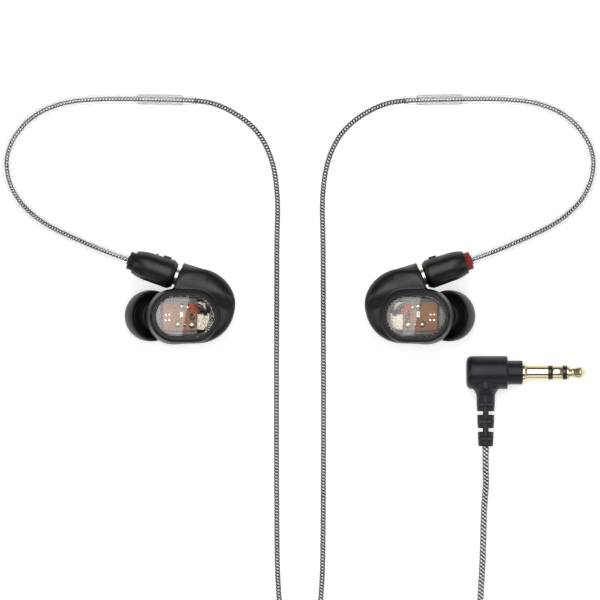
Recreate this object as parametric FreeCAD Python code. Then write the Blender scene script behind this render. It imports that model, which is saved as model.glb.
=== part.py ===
import FreeCAD, Part
# In-ear monitors laid flat: two earpieces on a detachable Y cable with an angled 3.5 mm plug.
# Millimetres, +Z up from the surface that the set lies on, +X from the left earpiece to the
# right one, origin on that surface midway between the earpieces.  Every paired piece is
# modelled on the left, and its right-hand twin is the mirror image across the YZ plane.
import math
import os
from FreeCAD import Placement, Rotation, Vector as V

# ---- fits --------------------------------------------------------------------------------
GLUE_GAP = 0.02                        # between pieces bonded or pressed together
RUN_GAP = 0.05                         # radial, between pieces that slide or turn

# ---- shell of an earpiece, in its own tilted frame, whose XY plane is the mid-plane -----------
SHELL_CENTRE = V(-28.0, -4.74, 12.2)   # where that frame sits on the table
SHELL_TILT = 8.0                       # degrees, inner side lower
SHELL_HALF = 5.2                       # half thickness at the window
EAR_LOBE = V(-2.4, 0, 0)               # centre of the small lobe over the ear tip
EAR_LOBE_R = 6.6
BIG_LOBE = V(3.15, 2.5, 0)             # centre of the large lobe
BIG_LOBE_R = 9.0
SHOULDER_DROP = 1.3                    # shoulder below the window's face
BACK_EDGE_R = 4.0
FRONT_EDGE_R = 1.9
WALL = 1.0
PARTING_Z = -0.8                       # where the two shell halves meet

# ---- window --------------------------------------------------------------------------------
WINDOW_CENTRE = V(-0.45, 0, 0)         # from the shell's centre
WINDOW_R = 5.05                        # end radius of the clear stadium
WINDOW_REACH = 2.2                     # half length of its straight sides
WINDOW_THICK = 1.05
WINDOW_EDGE_R = 0.35
BEZEL_WIDTH = 0.75
BEZEL_PROUD = 0.15
BEZEL_EDGE_R = 0.15
TOWER_WALL = 0.5                       # rim of the shell round the bezel
TOWER_EDGE_R = 0.4
SEAT_WIDTH = 0.5                       # ledge that the window rests on
SEAT_THICK = 0.5

# ---- what the shell holds: the board from the window's centre, the drivers from the shell's ----
BOARD_SIZE = V(8.2, 6.7, 0.6)
BOARD_CORNER = V(-5.0, -3.4, 1.9)
SOLDER_R = 0.62
SOLDER_HEIGHT = 0.5
SOLDER_AT = [(-0.36, 2.42), (1.14, 2.2), (-1.33, -1.91), (0.39, -1.91), (2.13, -2.0)]
PAD_SIZE = V(0.55, 0.55, 0.2)
PAD_AT = [(-4.3, 0.41), (-3.33, 0.41), (-4.3, -0.91), (-3.33, -0.91)]
CHIP_SIZE = V(1.0, 1.5, 0.55)
CHIP_CORNER = (-0.9, -0.3)
DRIVERS = {                            # name: lowest corner, size
    "low_driver": (V(-1.4, -3.5, -3.4), V(8.6, 4.5, 4.4)),
    "mid_driver": (V(-1.4, 1.2, -3.2), V(7.0, 2.6, 4.0)),
    "high_driver": (V(-4.8, 1.95, -1.9), V(3.2, 2.3, 2.3)),
}
DRIVER_EDGE_R = 0.35
SPOUT_R = 0.8
MANIFOLD_R = 1.6
MANIFOLD_LENGTH = 1.8

# ---- nozzle and ear tip, along their own axis from the centre of the tip's dome ---------------
TIP_CENTRE = V(-36.05, -4.6, 6.435)
TIP_LEAN = 30.0                        # degrees outwards from straight down
TIP_R = 6.2
TIP_NOSE = 5.9                         # dome centre to nose
TIP_RIM = -1.4                         # dome centre to skirt rim, towards the shell
TIP_SKIN = 0.5
TIP_STEM_WALL = 0.75
TIP_STEM_BACK = -2.2                   # end of the stem beside the shell
TIP_MOUTH_R = 1.9
NOZZLE_R = 2.45
NOZZLE_WALL = 0.5
NOZZLE_END = 3.4
NOZZLE_ROOT = -5.2
SCREEN_THICK = 0.25
SCREEN_INSET = 0.3                     # below the nozzle's end
BOSS_WALL = 0.6
BOSS_FROM, BOSS_TO = -4.6, -2.6
TIP_PULL = 7.0                         # travel that clears the nozzle

# ---- coaxial connector, along its axis from the socket's mouth, outwards positive -------------
MOUTH = V(-29.12, 4.74, 12.0)
MOUTH_ANGLE = 18.6                     # degrees from -X towards +Y
HORN_R = 3.6
HORN_DEPTH = 6.4
SOCKET_DEPTH = 5.2
SOCKET_WALL = 0.45
SOCKET_FLOOR = 0.8
CONTACT_R = 0.85
CONTACT_FROM = -1.0
SLEEVE_R = 2.2
SLEEVE_WALL = 0.5
SLEEVE_END = -3.6
SLEEVE_HIDDEN = 5.0                    # how far the sleeve and the pin reach into the barrel
BARREL_GAP = 1.0
BARREL_NECK_R = 3.05
BARREL_NECK_LENGTH = 1.1
BARREL_EDGE = 0.25
BARREL_R = 3.55
BARREL_WAIST_R = 3.3
BARREL_TAIL_R = 2.75
BARREL_LENGTH = 10.4
COLLAR_R = 2.2
COLLAR_LENGTH = 1.4
PIN_R = 0.4
PIN_END = -3.2
RING_AT = -2.4                         # snap ring's middle
RING_WIDTH = 0.5
RING_THICK = 0.22
RING_SPLIT = 0.8
TAB_SIZE = V(0.9, 1.5, 1.9)            # key mark: depth with what stands proud, width, length
TAB_PROUD = 0.35
TAB_FROM = 3.1
BUMP_R = 0.35
BUMP_AT = 6.6
UNPLUG = 7.5                           # travel that clears the socket

# ---- cable ----------------------------------------------------------------------------------------
BRANCH_D = 1.3
HOOK_D = 2.2                           # clear formed tube that goes over the ear
HOOK_BORE = 1.5
HOOK_LENGTH = 95.0
SHRINK_D = 2.7                         # clear sleeve shrunk over the hook's far end
SHRINK_FROM, SHRINK_LENGTH = 81.0, 10.8
MAIN_D = 1.6

BRANCH_ROUTE = [                       # from the collar over the ear and down to the splitter
    (-45.8, 10.4, 12.0), (-54.4, 14.05, 10.4), (-63.3, 18.35, 6.8), (-69.9, 25.4, 3.6),
    (-71.4, 34.6, 1.9), (-66.0, 43.0, 1.3), (-57.6, 46.95, 1.25), (-48.1, 47.75, 1.4),
    (-38.6, 47.65, 1.5), (-28.7, 47.5, 1.5), (-20.1, 46.95, 0.8), (-10.9, 41.3, 0.65),
    (-6.55, 33.4, 0.65), (-5.25, 23.5, 0.65), (-5.6, 14.1, 0.65), (-5.6, 0.0, 0.65),
    (-5.7, -24.0, 0.65), (-5.65, -49.0, 0.65), (-5.4, -74.0, 0.7), (-1.6, -97.0, 1.9),
    (-1.45, -121.5, 2.0), (-1.5, -145.6, 2.0),
]
LEAD_ROUTE = [                         # from the splitter to the coil
    (0.0, -158.8, 2.0), (0.4, -165.0, 1.1), (6.0, -171.5, 0.8), (16.0, -172.0, 0.8),
    (26.0, -165.5, 0.8), (34.0, -152.0, 0.8), (39.5, -136.0, 0.8), (42.1, -118.0, 0.8),
    (42.2, -100.0, 0.8),
]
TAIL_ROUTE = [                         # from the coil to the plug's strain relief
    (42.2, -94.0, 5.6), (42.6, -85.0, 4.6), (43.4, -75.0, 1.7), (44.2, -62.0, 0.8),
    (44.4, -51.0, 0.9), (44.95, -45.0, 2.3), (44.7, -40.3, 3.9), (44.8, -36.1, 4.0),
]

# ---- splitter, slider and coil -----------------------------------------------------------------------
YOKE_LENGTH = 13.2
YOKE_WIDE = 6.4
YOKE_NARROW = 4.2
YOKE_EDGE_R = 0.9
BRANCH_PITCH = 3.0
SLIDER_LENGTH = 7.0
SLIDER_WALL = 0.9
SLIDER_EDGE_R = 0.4
SLIDER_GAP = 0.3                       # the slider holds both cords loosely
SLIDER_REST = 1.0                      # from the splitter
SLIDER_TRAVEL = 28.0
COIL_CENTRE = V(30.0, -97.0, 0)
COIL_MID_R = 9.0
COIL_WIDE, COIL_HIGH = 5, 4            # turns side by side, and layers
COIL_EDGE_R = 0.7

# ---- plug: the jack points along +X, the strain relief along -Y ----------------------------------------
PLUG_CENTRE = V(44.8, -18.3, 4.0)      # where their axes cross
PLUG_BODY_R = 4.0
PLUG_BODY_FROM, PLUG_BODY_TO = -4.7, 5.3
PLUG_BACK_EDGE_R = 1.6
PLUG_COLLAR_R = 2.9
PLUG_COLLAR_LENGTH = 3.6
FLANGE_R = 2.25
FLANGE_LENGTH = 1.1
JACK_R = 1.75
JACK_CORE_R = 0.9
JACK_SLEEVE_LENGTH = 5.05
INSULATOR_LENGTH = 1.08
JACK_RING_LENGTH = 2.4
JACK_TIP_LENGTH = 4.56
JACK_NECK_R = 1.2
RELIEF_FLARE_R = 3.3
RELIEF_TOP_R = 2.26
RELIEF_END_R = 1.8
RELIEF_ROOT = 5.7                      # plug axis to where the relief's taper starts
RELIEF_FIRST_SLOT = 7.72               # plug axis to the first slot
RELIEF_PITCH = 2.04
RELIEF_SLOTS = 5
RELIEF_SLOT = 0.85
RELIEF_WEB = 1.4                       # what a pair of slots leaves between them
RELIEF_EDGE_R = 0.35

# ---- frames that the pieces are built in -----------------------------------------------------------------
OUT = V(-math.cos(math.radians(MOUTH_ANGLE)), math.sin(math.radians(MOUTH_ANGLE)), 0)
ACROSS = V(OUT.y, -OUT.x, 0)
NOSE = V(-math.sin(math.radians(TIP_LEAN)), 0, -math.cos(math.radians(TIP_LEAN)))
SHELL = Placement(SHELL_CENTRE, Rotation(V(0, 1, 0), SHELL_TILT))
CONNECTOR = Placement(MOUTH, Rotation(ACROSS, OUT.cross(ACROSS), OUT, "ZXY"))
TIP = Placement(TIP_CENTRE, Rotation(V(0, 0, 1), NOSE))
FACE = SHELL.multiply(Placement(WINDOW_CENTRE, Rotation()))
JACK = Placement(PLUG_CENTRE, Rotation(V(0, 0, 1), V(1, 0, 0)))

BARREL_END = BARREL_GAP + BARREL_LENGTH
COLLAR_END = BARREL_END + COLLAR_LENGTH
BEZEL_R = WINDOW_R + BEZEL_WIDTH
SEAT_Z = SHELL_HALF - WINDOW_THICK     # the window's underside
SOCKET_R = SLEEVE_R + RUN_GAP + SOCKET_WALL
BIG = 60.0                             # larger than an earpiece, for cutting tools


def placed(shape, frame):
    """The shape moved from the frame that it was built in to the table."""
    moved = shape.copy()
    moved.Placement = frame.multiply(moved.Placement)
    return moved


def cylinder(radius, low, high):
    """A cylinder about Z between two heights."""
    return Part.makeCylinder(radius, high - low, V(0, 0, low))


def tube(radius, bore, low, high):
    """A cylinder about Z with a hole through it."""
    return cylinder(radius, low, high).cut(cylinder(bore, low - 1, high + 1))


def turned(start, *steps):
    """A solid turned about Z from its half outline in (radius, height).  Each step is one
    point for a straight line, or two points for an arc through the first to the second."""
    def at(point):
        return V(point[0], 0, point[1])
    edges, here = [], start
    for step in steps + (start,):
        if isinstance(step[0], tuple):
            edges.append(Part.Arc(at(here), at(step[0]), at(step[1])).toShape())
            here = step[1]
        else:
            edges.append(Part.LineSegment(at(here), at(step)).toShape())
            here = step
    return Part.Face(Part.Wire(edges)).revolve(V(0, 0, 0), V(0, 0, 1), 360)


def egg(left, left_r, right, right_r, z):
    """The flat face at height z inside two circles and the two lines that touch them both."""
    way = right - left
    heading = math.atan2(way.y, way.x)
    lean = math.asin((right_r - left_r) / way.Length)
    top, low = heading + math.pi / 2 + lean, heading - math.pi / 2 - lean

    def at(centre, radius, angle):
        return V(centre.x + radius * math.cos(angle), centre.y + radius * math.sin(angle), z)
    edges = [
        Part.LineSegment(at(left, left_r, low), at(right, right_r, low)),
        Part.Arc(at(right, right_r, low), at(right, right_r, heading), at(right, right_r, top)),
        Part.LineSegment(at(right, right_r, top), at(left, left_r, top)),
        Part.Arc(at(left, left_r, top), at(left, left_r, heading + math.pi), at(left, left_r, low)),
    ]
    return Part.Face(Part.Wire([edge.toShape() for edge in edges]))


def stadium(radius, reach, z):
    """The flat face of a stadium that lies along X."""
    return egg(V(-reach, 0, 0), radius, V(reach, 0, 0), radius, z)


def slab(face, height, low_r=0.0, high_r=0.0):
    """The face raised by height, with its lower and upper edges rounded."""
    solid = face.extrude(V(0, 0, height))
    floor = face.BoundBox.ZMin
    for radius, level in ((low_r, floor), (high_r, floor + height)):
        if radius:
            rim = [e for e in solid.Edges if all(abs(v.Z - level) < 1e-6 for v in e.Vertexes)]
            solid = solid.makeFillet(radius, rim)
    return solid


def beyond_mouth(start):
    """Everything outwards of a plane across the connector's axis."""
    return placed(Part.makeBox(BIG, BIG, BIG, V(-BIG / 2, -BIG / 2, start)), CONNECTOR)


def pebble(inset, low, high, low_r, high_r):
    """The two lobes of the shell as one rounded body, smaller by inset all round.  Only the
    small lobe reaches past the plane of the connector's mouth."""
    both = slab(egg(EAR_LOBE, EAR_LOBE_R - inset, BIG_LOBE, BIG_LOBE_R - inset, low),
                high - low, low_r, high_r)
    circle = Part.Face(Part.Wire(Part.makeCircle(EAR_LOBE_R - inset, EAR_LOBE + V(0, 0, low))))
    small = slab(circle, high - low, low_r, high_r)
    return placed(both, SHELL).cut(beyond_mouth(-inset)).fuse(placed(small, SHELL))


def shell_halves():
    """Front and back shells: a hollow pebble with a rim round the window, a horn for the
    connector and a boss for the nozzle, parted on a plane."""
    shoulder = SHELL_HALF - SHOULDER_DROP
    body = pebble(0, -SHELL_HALF, shoulder, BACK_EDGE_R, FRONT_EDGE_R)
    rim = slab(stadium(BEZEL_R + GLUE_GAP + TOWER_WALL, WINDOW_REACH, 0), SHELL_HALF, 0, TOWER_EDGE_R)
    horn = placed(cylinder(HORN_R, -HORN_DEPTH, 0), CONNECTOR)
    boss = placed(cylinder(NOZZLE_R + GLUE_GAP + BOSS_WALL, BOSS_FROM, BOSS_TO), TIP)
    hollow = pebble(WALL, WALL - SHELL_HALF, shoulder - WALL, BACK_EDGE_R - WALL, FRONT_EDGE_R - WALL)
    well = slab(stadium(BEZEL_R + GLUE_GAP, WINDOW_REACH, SEAT_Z - SEAT_THICK), BIG)
    throat = slab(stadium(WINDOW_R - SEAT_WIDTH, WINDOW_REACH, 0), SEAT_Z)
    bore = placed(cylinder(SOCKET_R + GLUE_GAP, -SOCKET_DEPTH, 1), CONNECTOR)
    nozzle_hole = placed(cylinder(NOZZLE_R + GLUE_GAP, NOZZLE_ROOT - 1, BOSS_TO + 1), TIP)
    outside = body.fuse([placed(rim, FACE), horn, boss])
    inside = hollow.fuse(placed(throat, FACE)).cut(horn)
    whole = outside.cut(inside).cut(placed(well, FACE)).cut(bore).cut(nozzle_hole)
    above = placed(Part.makeBox(BIG, BIG, BIG, V(-BIG / 2, -BIG / 2, PARTING_Z)), SHELL)
    front, back = whole.common(above), whole.cut(above)
    return largest(front), largest(back)


def largest(shape):
    """The largest solid of a shape, leaving out slivers that a cut has freed."""
    return max(shape.Solids, key=lambda solid: solid.Volume)


def window_parts():
    """The clear window and the black bezel that holds it."""
    window = slab(stadium(WINDOW_R - GLUE_GAP, WINDOW_REACH, SEAT_Z), WINDOW_THICK, 0, WINDOW_EDGE_R)
    seat = SEAT_Z - SEAT_THICK
    bezel = slab(stadium(BEZEL_R, WINDOW_REACH, seat), SHELL_HALF + BEZEL_PROUD - seat, 0, BEZEL_EDGE_R)
    bezel = bezel.cut(slab(stadium(WINDOW_R, WINDOW_REACH, SEAT_Z), BIG))
    bezel = bezel.cut(slab(stadium(WINDOW_R - SEAT_WIDTH, WINDOW_REACH, seat - 1), BIG))
    return {"window": placed(window, FACE), "window_bezel": placed(bezel, FACE)}


def inner_parts():
    """Crossover board with what is soldered to it, and the three balanced-armature drivers."""
    top = BOARD_CORNER.z + BOARD_SIZE.z
    board = Part.makeBox(*BOARD_SIZE, BOARD_CORNER)
    bits = [Part.makeCone(SOLDER_R, SOLDER_R / 2, SOLDER_HEIGHT, V(x, y, top)) for x, y in SOLDER_AT]
    bits += [Part.makeBox(*PAD_SIZE, V(x, y, top) - V(PAD_SIZE.x / 2, PAD_SIZE.y / 2, 0))
             for x, y in PAD_AT]
    bits.append(Part.makeBox(*CHIP_SIZE, V(*CHIP_CORNER, top)))
    parts = {"crossover_board": placed(board, FACE),
             "board_parts": placed(Part.makeCompound(bits), FACE)}
    for name, (corner, size) in DRIVERS.items():
        can = Part.makeBox(*size, corner)
        parts[name] = placed(can.makeFillet(DRIVER_EDGE_R, can.Edges), SHELL)
    return parts


def sound_parts():
    """Nozzle, its screen, the manifold that joins the drivers to it, and the silicone tip."""
    bore = NOZZLE_R - NOZZLE_WALL
    nozzle = tube(NOZZLE_R, bore, NOZZLE_ROOT, NOZZLE_END)
    screen = cylinder(bore - GLUE_GAP, NOZZLE_END - SCREEN_INSET - SCREEN_THICK, NOZZLE_END - SCREEN_INSET)
    manifold = tube(MANIFOLD_R, SPOUT_R, NOZZLE_ROOT - MANIFOLD_LENGTH, NOZZLE_ROOT + 1)
    stem = NOZZLE_R + RUN_GAP + TIP_STEM_WALL
    skirt = TIP_R - TIP_SKIN
    tip = turned(
        (NOZZLE_R + RUN_GAP, TIP_STEM_BACK), (stem, TIP_STEM_BACK), (stem, 1.9),
        ((skirt - 1.0, 1.1), (skirt - 0.25, TIP_RIM)), (TIP_R - 0.12, TIP_RIM),
        ((TIP_R, 0), (TIP_R * 0.955, 1.9)), ((TIP_R * 0.72, 4.4), (TIP_MOUTH_R + 0.75, TIP_NOSE)),
        (TIP_MOUTH_R, TIP_NOSE - 0.3), (TIP_MOUTH_R, NOZZLE_END + 0.3),
        (NOZZLE_R + RUN_GAP, NOZZLE_END + 0.3))
    parts = {"nozzle": nozzle, "nozzle_screen": screen, "sound_manifold": manifold, "ear_tip": tip}
    return {name: placed(shape, TIP) for name, shape in parts.items()}


def connector_parts(bump):
    """Socket in the horn, snap ring, and the barrel with its contacts on the cable's end."""
    liner = SLEEVE_R + RUN_GAP
    socket = tube(SOCKET_R, liner, -SOCKET_DEPTH, -0.15)
    groove = tube(liner + RING_THICK + RUN_GAP, liner - 1, RING_AT - RING_WIDTH / 2 - RUN_GAP,
                  RING_AT + RING_WIDTH / 2 + RUN_GAP)
    floor = tube(liner - GLUE_GAP, CONTACT_R + GLUE_GAP, -SOCKET_DEPTH, SOCKET_FLOOR - SOCKET_DEPTH)
    contact = tube(CONTACT_R, PIN_R + RUN_GAP, -SOCKET_DEPTH, CONTACT_FROM)
    ring = tube(liner + RING_THICK, liner, RING_AT - RING_WIDTH / 2, RING_AT + RING_WIDTH / 2)
    ring = ring.cut(Part.makeBox(BIG, RING_SPLIT, BIG, V(0, -RING_SPLIT / 2, -BIG / 2)))
    hidden = BARREL_GAP + SLEEVE_HIDDEN
    sleeve = tube(SLEEVE_R, SLEEVE_R - SLEEVE_WALL, SLEEVE_END, hidden)
    pin = cylinder(PIN_R, PIN_END, hidden)
    barrel = turned(
        (0, BARREL_GAP), (BARREL_NECK_R - BARREL_EDGE, BARREL_GAP), (BARREL_NECK_R, BARREL_GAP + BARREL_EDGE),
        (BARREL_R, BARREL_GAP + BARREL_NECK_LENGTH), (BARREL_WAIST_R + 0.12, BARREL_END - 4.4),
        ((BARREL_WAIST_R - 0.08, BARREL_END - 1.8), (BARREL_TAIL_R, BARREL_END)), (0, BARREL_END))
    tab = Part.makeBox(*TAB_SIZE, V(BARREL_R + TAB_PROUD - TAB_SIZE.x, -TAB_SIZE.y / 2, TAB_FROM))
    barrel = barrel.fuse(tab)
    if bump:
        barrel = barrel.fuse(Part.makeSphere(BUMP_R, V(BARREL_R - 0.1, 0, BUMP_AT)))
    barrel = barrel.cut(cylinder(SLEEVE_R + GLUE_GAP, BARREL_GAP - 1, hidden))
    parts = {
        "socket_shell": socket.cut(groove), "socket_insulator": floor, "socket_contact": contact,
        "snap_ring": ring, "contact_sleeve": sleeve, "contact_pin": pin,
        "connector_barrel": barrel, "connector_collar": cylinder(COLLAR_R, BARREL_END, COLLAR_END),
    }
    return {name: placed(shape, CONNECTOR) for name, shape in parts.items()}


def route_edges(points, name):
    """Straight runs joined by tangent arcs, each as large as its two runs allow."""
    points = [V(*p) for p in points]
    edges, here, tightest = [], points[0], BIG * BIG
    for before, corner, after in zip(points, points[1:], points[2:]):
        back, ahead = (before - corner), (after - corner)
        turn = math.pi - back.getAngle(ahead)
        touch = 0.45 * min(back.Length, ahead.Length)
        radius = touch / math.tan(turn / 2)
        tightest = min(tightest, radius)
        start = corner + V(back).normalize() * touch
        end = corner + V(ahead).normalize() * touch
        inward = (V(back).normalize() + V(ahead).normalize()).normalize()
        middle = corner + inward * (radius / math.cos(turn / 2) - radius)
        edges.append(Part.LineSegment(here, start).toShape())
        edges.append(Part.Arc(start, middle, end).toShape())
        here = end
    edges.append(Part.LineSegment(here, points[-1]).toShape())
    length = sum(edge.Length for edge in edges)
    print(f"{name}: length {length:.1f} mm, tightest radius {tightest:.1f} mm")
    return edges


def stretch(edges, start, end):
    """The part of a route between two lengths along it."""
    kept, done = [], 0.0
    for edge in edges:
        low, high = max(start - done, 0), min(end - done, edge.Length)
        if high - low > 1e-3:
            first, last = edge.getParameterByLength(low), edge.getParameterByLength(high)
            kept.append(edge.Curve.toShape(first, last))
        done += edge.Length
    return kept


def cord(edges, diameter):
    """A solid of round section along a route."""
    spine = Part.Wire(edges)
    start, way = edges[0].valueAt(edges[0].FirstParameter), edges[0].tangentAt(edges[0].FirstParameter)
    ring = Part.Wire(Part.makeCircle(diameter / 2, start, way))
    solid = Part.Solid(spine.makePipeShell([ring], True, False))
    if solid.Volume < 0:
        solid.reverse()
    wanted = math.pi * diameter ** 2 / 4 * spine.Length
    assert abs(solid.Volume / wanted - 1) < 0.01, (solid.Volume, wanted)
    return solid


def branch_parts():
    """One branch of the cable with the clear hook tube and the shrink sleeve over it."""
    start = MOUTH + OUT * COLLAR_END
    edges = route_edges([tuple(start)] + BRANCH_ROUTE, "branch cord")
    hook = stretch(edges, 0, HOOK_LENGTH)
    shrink = stretch(edges, SHRINK_FROM, SHRINK_FROM + SHRINK_LENGTH)
    return {
        "branch_cord": cord(edges, BRANCH_D),
        "ear_hook": cord(hook, HOOK_D).cut(cord(hook, HOOK_BORE)),
        "hook_sleeve": cord(shrink, SHRINK_D).cut(cord(shrink, HOOK_D + 2 * GLUE_GAP)),
    }


def cable_parts():
    """Splitter, slider, and the main cord with its coil."""
    top = BRANCH_ROUTE[-1][1]
    height = BRANCH_ROUTE[-1][2]
    corners = [V(x, y, 0) for x, y in (
        (-YOKE_WIDE / 2, top), (YOKE_WIDE / 2, top), (YOKE_WIDE / 2, top - YOKE_LENGTH / 3),
        (YOKE_NARROW / 2, top - YOKE_LENGTH), (-YOKE_NARROW / 2, top - YOKE_LENGTH),
        (-YOKE_WIDE / 2, top - YOKE_LENGTH / 3))]
    yoke = Part.Face(Part.makePolygon(corners + corners[:1])).extrude(V(0, 0, 2 * height))
    yoke = yoke.makeFillet(YOKE_EDGE_R, yoke.Edges)
    along = Placement(V(0, top + SLIDER_REST, height), Rotation(V(1, 0, 0), -90))
    hole_r, reach = BRANCH_D / 2 + SLIDER_GAP, BRANCH_PITCH / 2
    slider = slab(stadium(hole_r + SLIDER_WALL, reach, 0), SLIDER_LENGTH, SLIDER_EDGE_R, SLIDER_EDGE_R)
    slider = slider.cut(slab(stadium(hole_r, reach, -1), SLIDER_LENGTH + 2))
    inner = COIL_MID_R - COIL_WIDE * MAIN_D / 2
    coil = tube(inner + COIL_WIDE * MAIN_D, inner, 0, COIL_HIGH * MAIN_D)
    coil = coil.makeFillet(COIL_EDGE_R, [e for e in coil.Edges if len(e.Vertexes) == 1])
    coil.translate(COIL_CENTRE)
    turns = COIL_HIGH * (COIL_WIDE - 1) + (COIL_HIGH - 1) / 3
    print(f"coil: {turns:.0f} turns, {turns * 2 * math.pi * COIL_MID_R:.0f} mm of cord")
    return {
        "splitter": yoke, "chin_slider": placed(slider, along), "main_cord_coil": coil,
        "main_cord_lead": cord(route_edges(LEAD_ROUTE, "main cord, lead"), MAIN_D),
        "main_cord_tail": cord(route_edges(TAIL_ROUTE, "main cord, tail"), MAIN_D),
    }


def strain_relief():
    """Tapered relief along -Y from the plug, slotted in turn from the sides and from the faces."""
    end = PLUG_CENTRE.y - TAIL_ROUTE[-1][1]
    flare = ((RELIEF_TOP_R + 0.25, RELIEF_ROOT - 1.1), (RELIEF_TOP_R, RELIEF_ROOT))
    relief = turned((0, 0), (RELIEF_FLARE_R, 0), (RELIEF_FLARE_R, PLUG_BODY_R - 0.15), flare,
                    (RELIEF_END_R, end - RELIEF_EDGE_R), (RELIEF_END_R - RELIEF_EDGE_R, end), (0, end))
    for index in range(RELIEF_SLOTS):
        middle = RELIEF_FIRST_SLOT + index * RELIEF_PITCH
        side = Part.makeBox(BIG, BIG, RELIEF_SLOT, V(RELIEF_WEB / 2, -BIG / 2, middle - RELIEF_SLOT / 2))
        for quarter in (0, 180) if index % 2 else (90, 270):
            relief = relief.cut(placed(side, Placement(V(), Rotation(V(0, 0, 1), quarter))))
    return placed(relief, Placement(PLUG_CENTRE, Rotation(V(1, 0, 0), 90)))


def plug_parts():
    """Angled body, collar, strain relief and the contacts of a stereo jack."""
    body = turned((0, PLUG_BODY_FROM), (PLUG_BODY_R - PLUG_BACK_EDGE_R, PLUG_BODY_FROM),
                  ((PLUG_BODY_R - 0.47, PLUG_BODY_FROM + 0.47), (PLUG_BODY_R, PLUG_BODY_FROM + 1.6)),
                  (PLUG_BODY_R, PLUG_BODY_TO - 0.3), (PLUG_BODY_R - 0.3, PLUG_BODY_TO), (0, PLUG_BODY_TO))
    collar_end = PLUG_BODY_TO + PLUG_COLLAR_LENGTH
    collar = turned((0, PLUG_BODY_TO), (PLUG_COLLAR_R, PLUG_BODY_TO), (PLUG_COLLAR_R, collar_end - 0.3),
                    (PLUG_COLLAR_R - 0.3, collar_end), (0, collar_end))
    body = placed(body, JACK)
    relief = strain_relief().cut(body)
    flange_end = collar_end + FLANGE_LENGTH
    sleeve_end = flange_end + JACK_SLEEVE_LENGTH
    ring_start = sleeve_end + INSULATOR_LENGTH
    ring_end = ring_start + JACK_RING_LENGTH
    tip_start = ring_end + INSULATOR_LENGTH
    tip_end = tip_start + JACK_TIP_LENGTH
    sleeve = cylinder(FLANGE_R, collar_end, flange_end).fuse(cylinder(JACK_R, flange_end, sleeve_end))
    core = JACK_CORE_R + GLUE_GAP
    tip = turned((0, sleeve_end), (JACK_CORE_R, sleeve_end), (JACK_CORE_R, tip_start), (JACK_R, tip_start),
                 (JACK_R, tip_start + 0.35), (JACK_NECK_R, tip_start + 1.15),
                 (JACK_NECK_R + 0.05, tip_start + 1.6), (JACK_R - 0.05, tip_end - 1.35),
                 (JACK_R - 0.25, tip_end - 1.05), (0.35, tip_end), (0, tip_end))
    spacers = [tube(JACK_R, core, sleeve_end, ring_start), tube(JACK_R, core, ring_end, tip_start)]
    print(f"jack: barrel {flange_end:.2f} to {tip_start:.2f} mm along the axis, tip at {tip_end:.2f} mm")
    parts = {
        "plug_collar": collar, "jack_sleeve": sleeve, "jack_ring": tube(JACK_R, core, ring_start, ring_end),
        "jack_insulators": Part.makeCompound(spacers), "jack_tip": tip,
    }
    parts = {name: placed(shape, JACK) for name, shape in parts.items()}
    parts.update({"plug_body": body, "strain_relief": relief})
    return parts


def earpiece_parts(bump):
    """Everything on one side, as built for the left."""
    front, back = shell_halves()
    parts = {"shell_front": front, "shell_back": back}
    for group in (window_parts(), inner_parts(), sound_parts(), connector_parts(bump), branch_parts()):
        parts.update(group)
    return parts


def main():
    """Write every piece to its own file."""
    os.makedirs("parts", exist_ok=True)
    parts = {f"{name}_left": shape for name, shape in earpiece_parts(True).items()}
    for name, shape in earpiece_parts(False).items():
        parts[f"{name}_right"] = shape.mirror(V(0, 0, 0), V(1, 0, 0))
    parts.update(cable_parts())
    parts.update(plug_parts())
    for name, shape in parts.items():
        assert shape.isValid() and shape.Solids, name
        shape.exportStep(f"parts/{name}.step")
    print(len(parts), "pieces")
    for label, value in (("mouth", MOUTH), ("out", OUT), ("tip centre", TIP_CENTRE), ("nose", NOSE)):
        print(label, [round(c, 5) for c in value])
    print(f"travels: unplug {UNPLUG}, tip off {TIP_PULL}, slider {SLIDER_TRAVEL} mm")


main()
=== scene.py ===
import math
import bpy
import numpy as np
from mathutils import Matrix, Vector


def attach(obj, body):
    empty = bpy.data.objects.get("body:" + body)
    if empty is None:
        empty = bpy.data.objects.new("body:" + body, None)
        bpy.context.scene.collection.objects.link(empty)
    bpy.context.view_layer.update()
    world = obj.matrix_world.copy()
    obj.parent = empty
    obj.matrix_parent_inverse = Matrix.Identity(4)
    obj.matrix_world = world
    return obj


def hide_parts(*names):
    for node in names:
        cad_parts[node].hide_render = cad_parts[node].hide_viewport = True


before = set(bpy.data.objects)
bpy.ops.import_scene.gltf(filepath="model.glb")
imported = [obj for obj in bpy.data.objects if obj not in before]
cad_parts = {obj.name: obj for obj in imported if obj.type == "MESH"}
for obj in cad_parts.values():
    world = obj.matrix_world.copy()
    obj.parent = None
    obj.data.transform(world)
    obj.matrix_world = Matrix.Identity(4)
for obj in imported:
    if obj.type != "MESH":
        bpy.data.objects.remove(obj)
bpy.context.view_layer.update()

# ---- studio ------------------------------------------------------------------------------------
# A white acrylic table in a dim room, with a little glow of its own.  A soft strip hangs overhead
# with a wide box on each side and one near; each window has a small box that its pane mirrors.
MM = 0.001
CAMERA_HEIGHT = 3.0
scene = bpy.context.scene
scene.view_settings.view_transform = "Standard"

camera_data = bpy.data.cameras.new("copy_stand")
camera_data.lens = 745.2
camera_data.sensor_width = 36.0
camera_data.clip_end = 20.0
camera = bpy.data.objects.new("copy_stand", camera_data)
camera.location = (0.0, -0.0008, CAMERA_HEIGHT)
scene.collection.objects.link(camera)
scene.camera = camera


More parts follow.
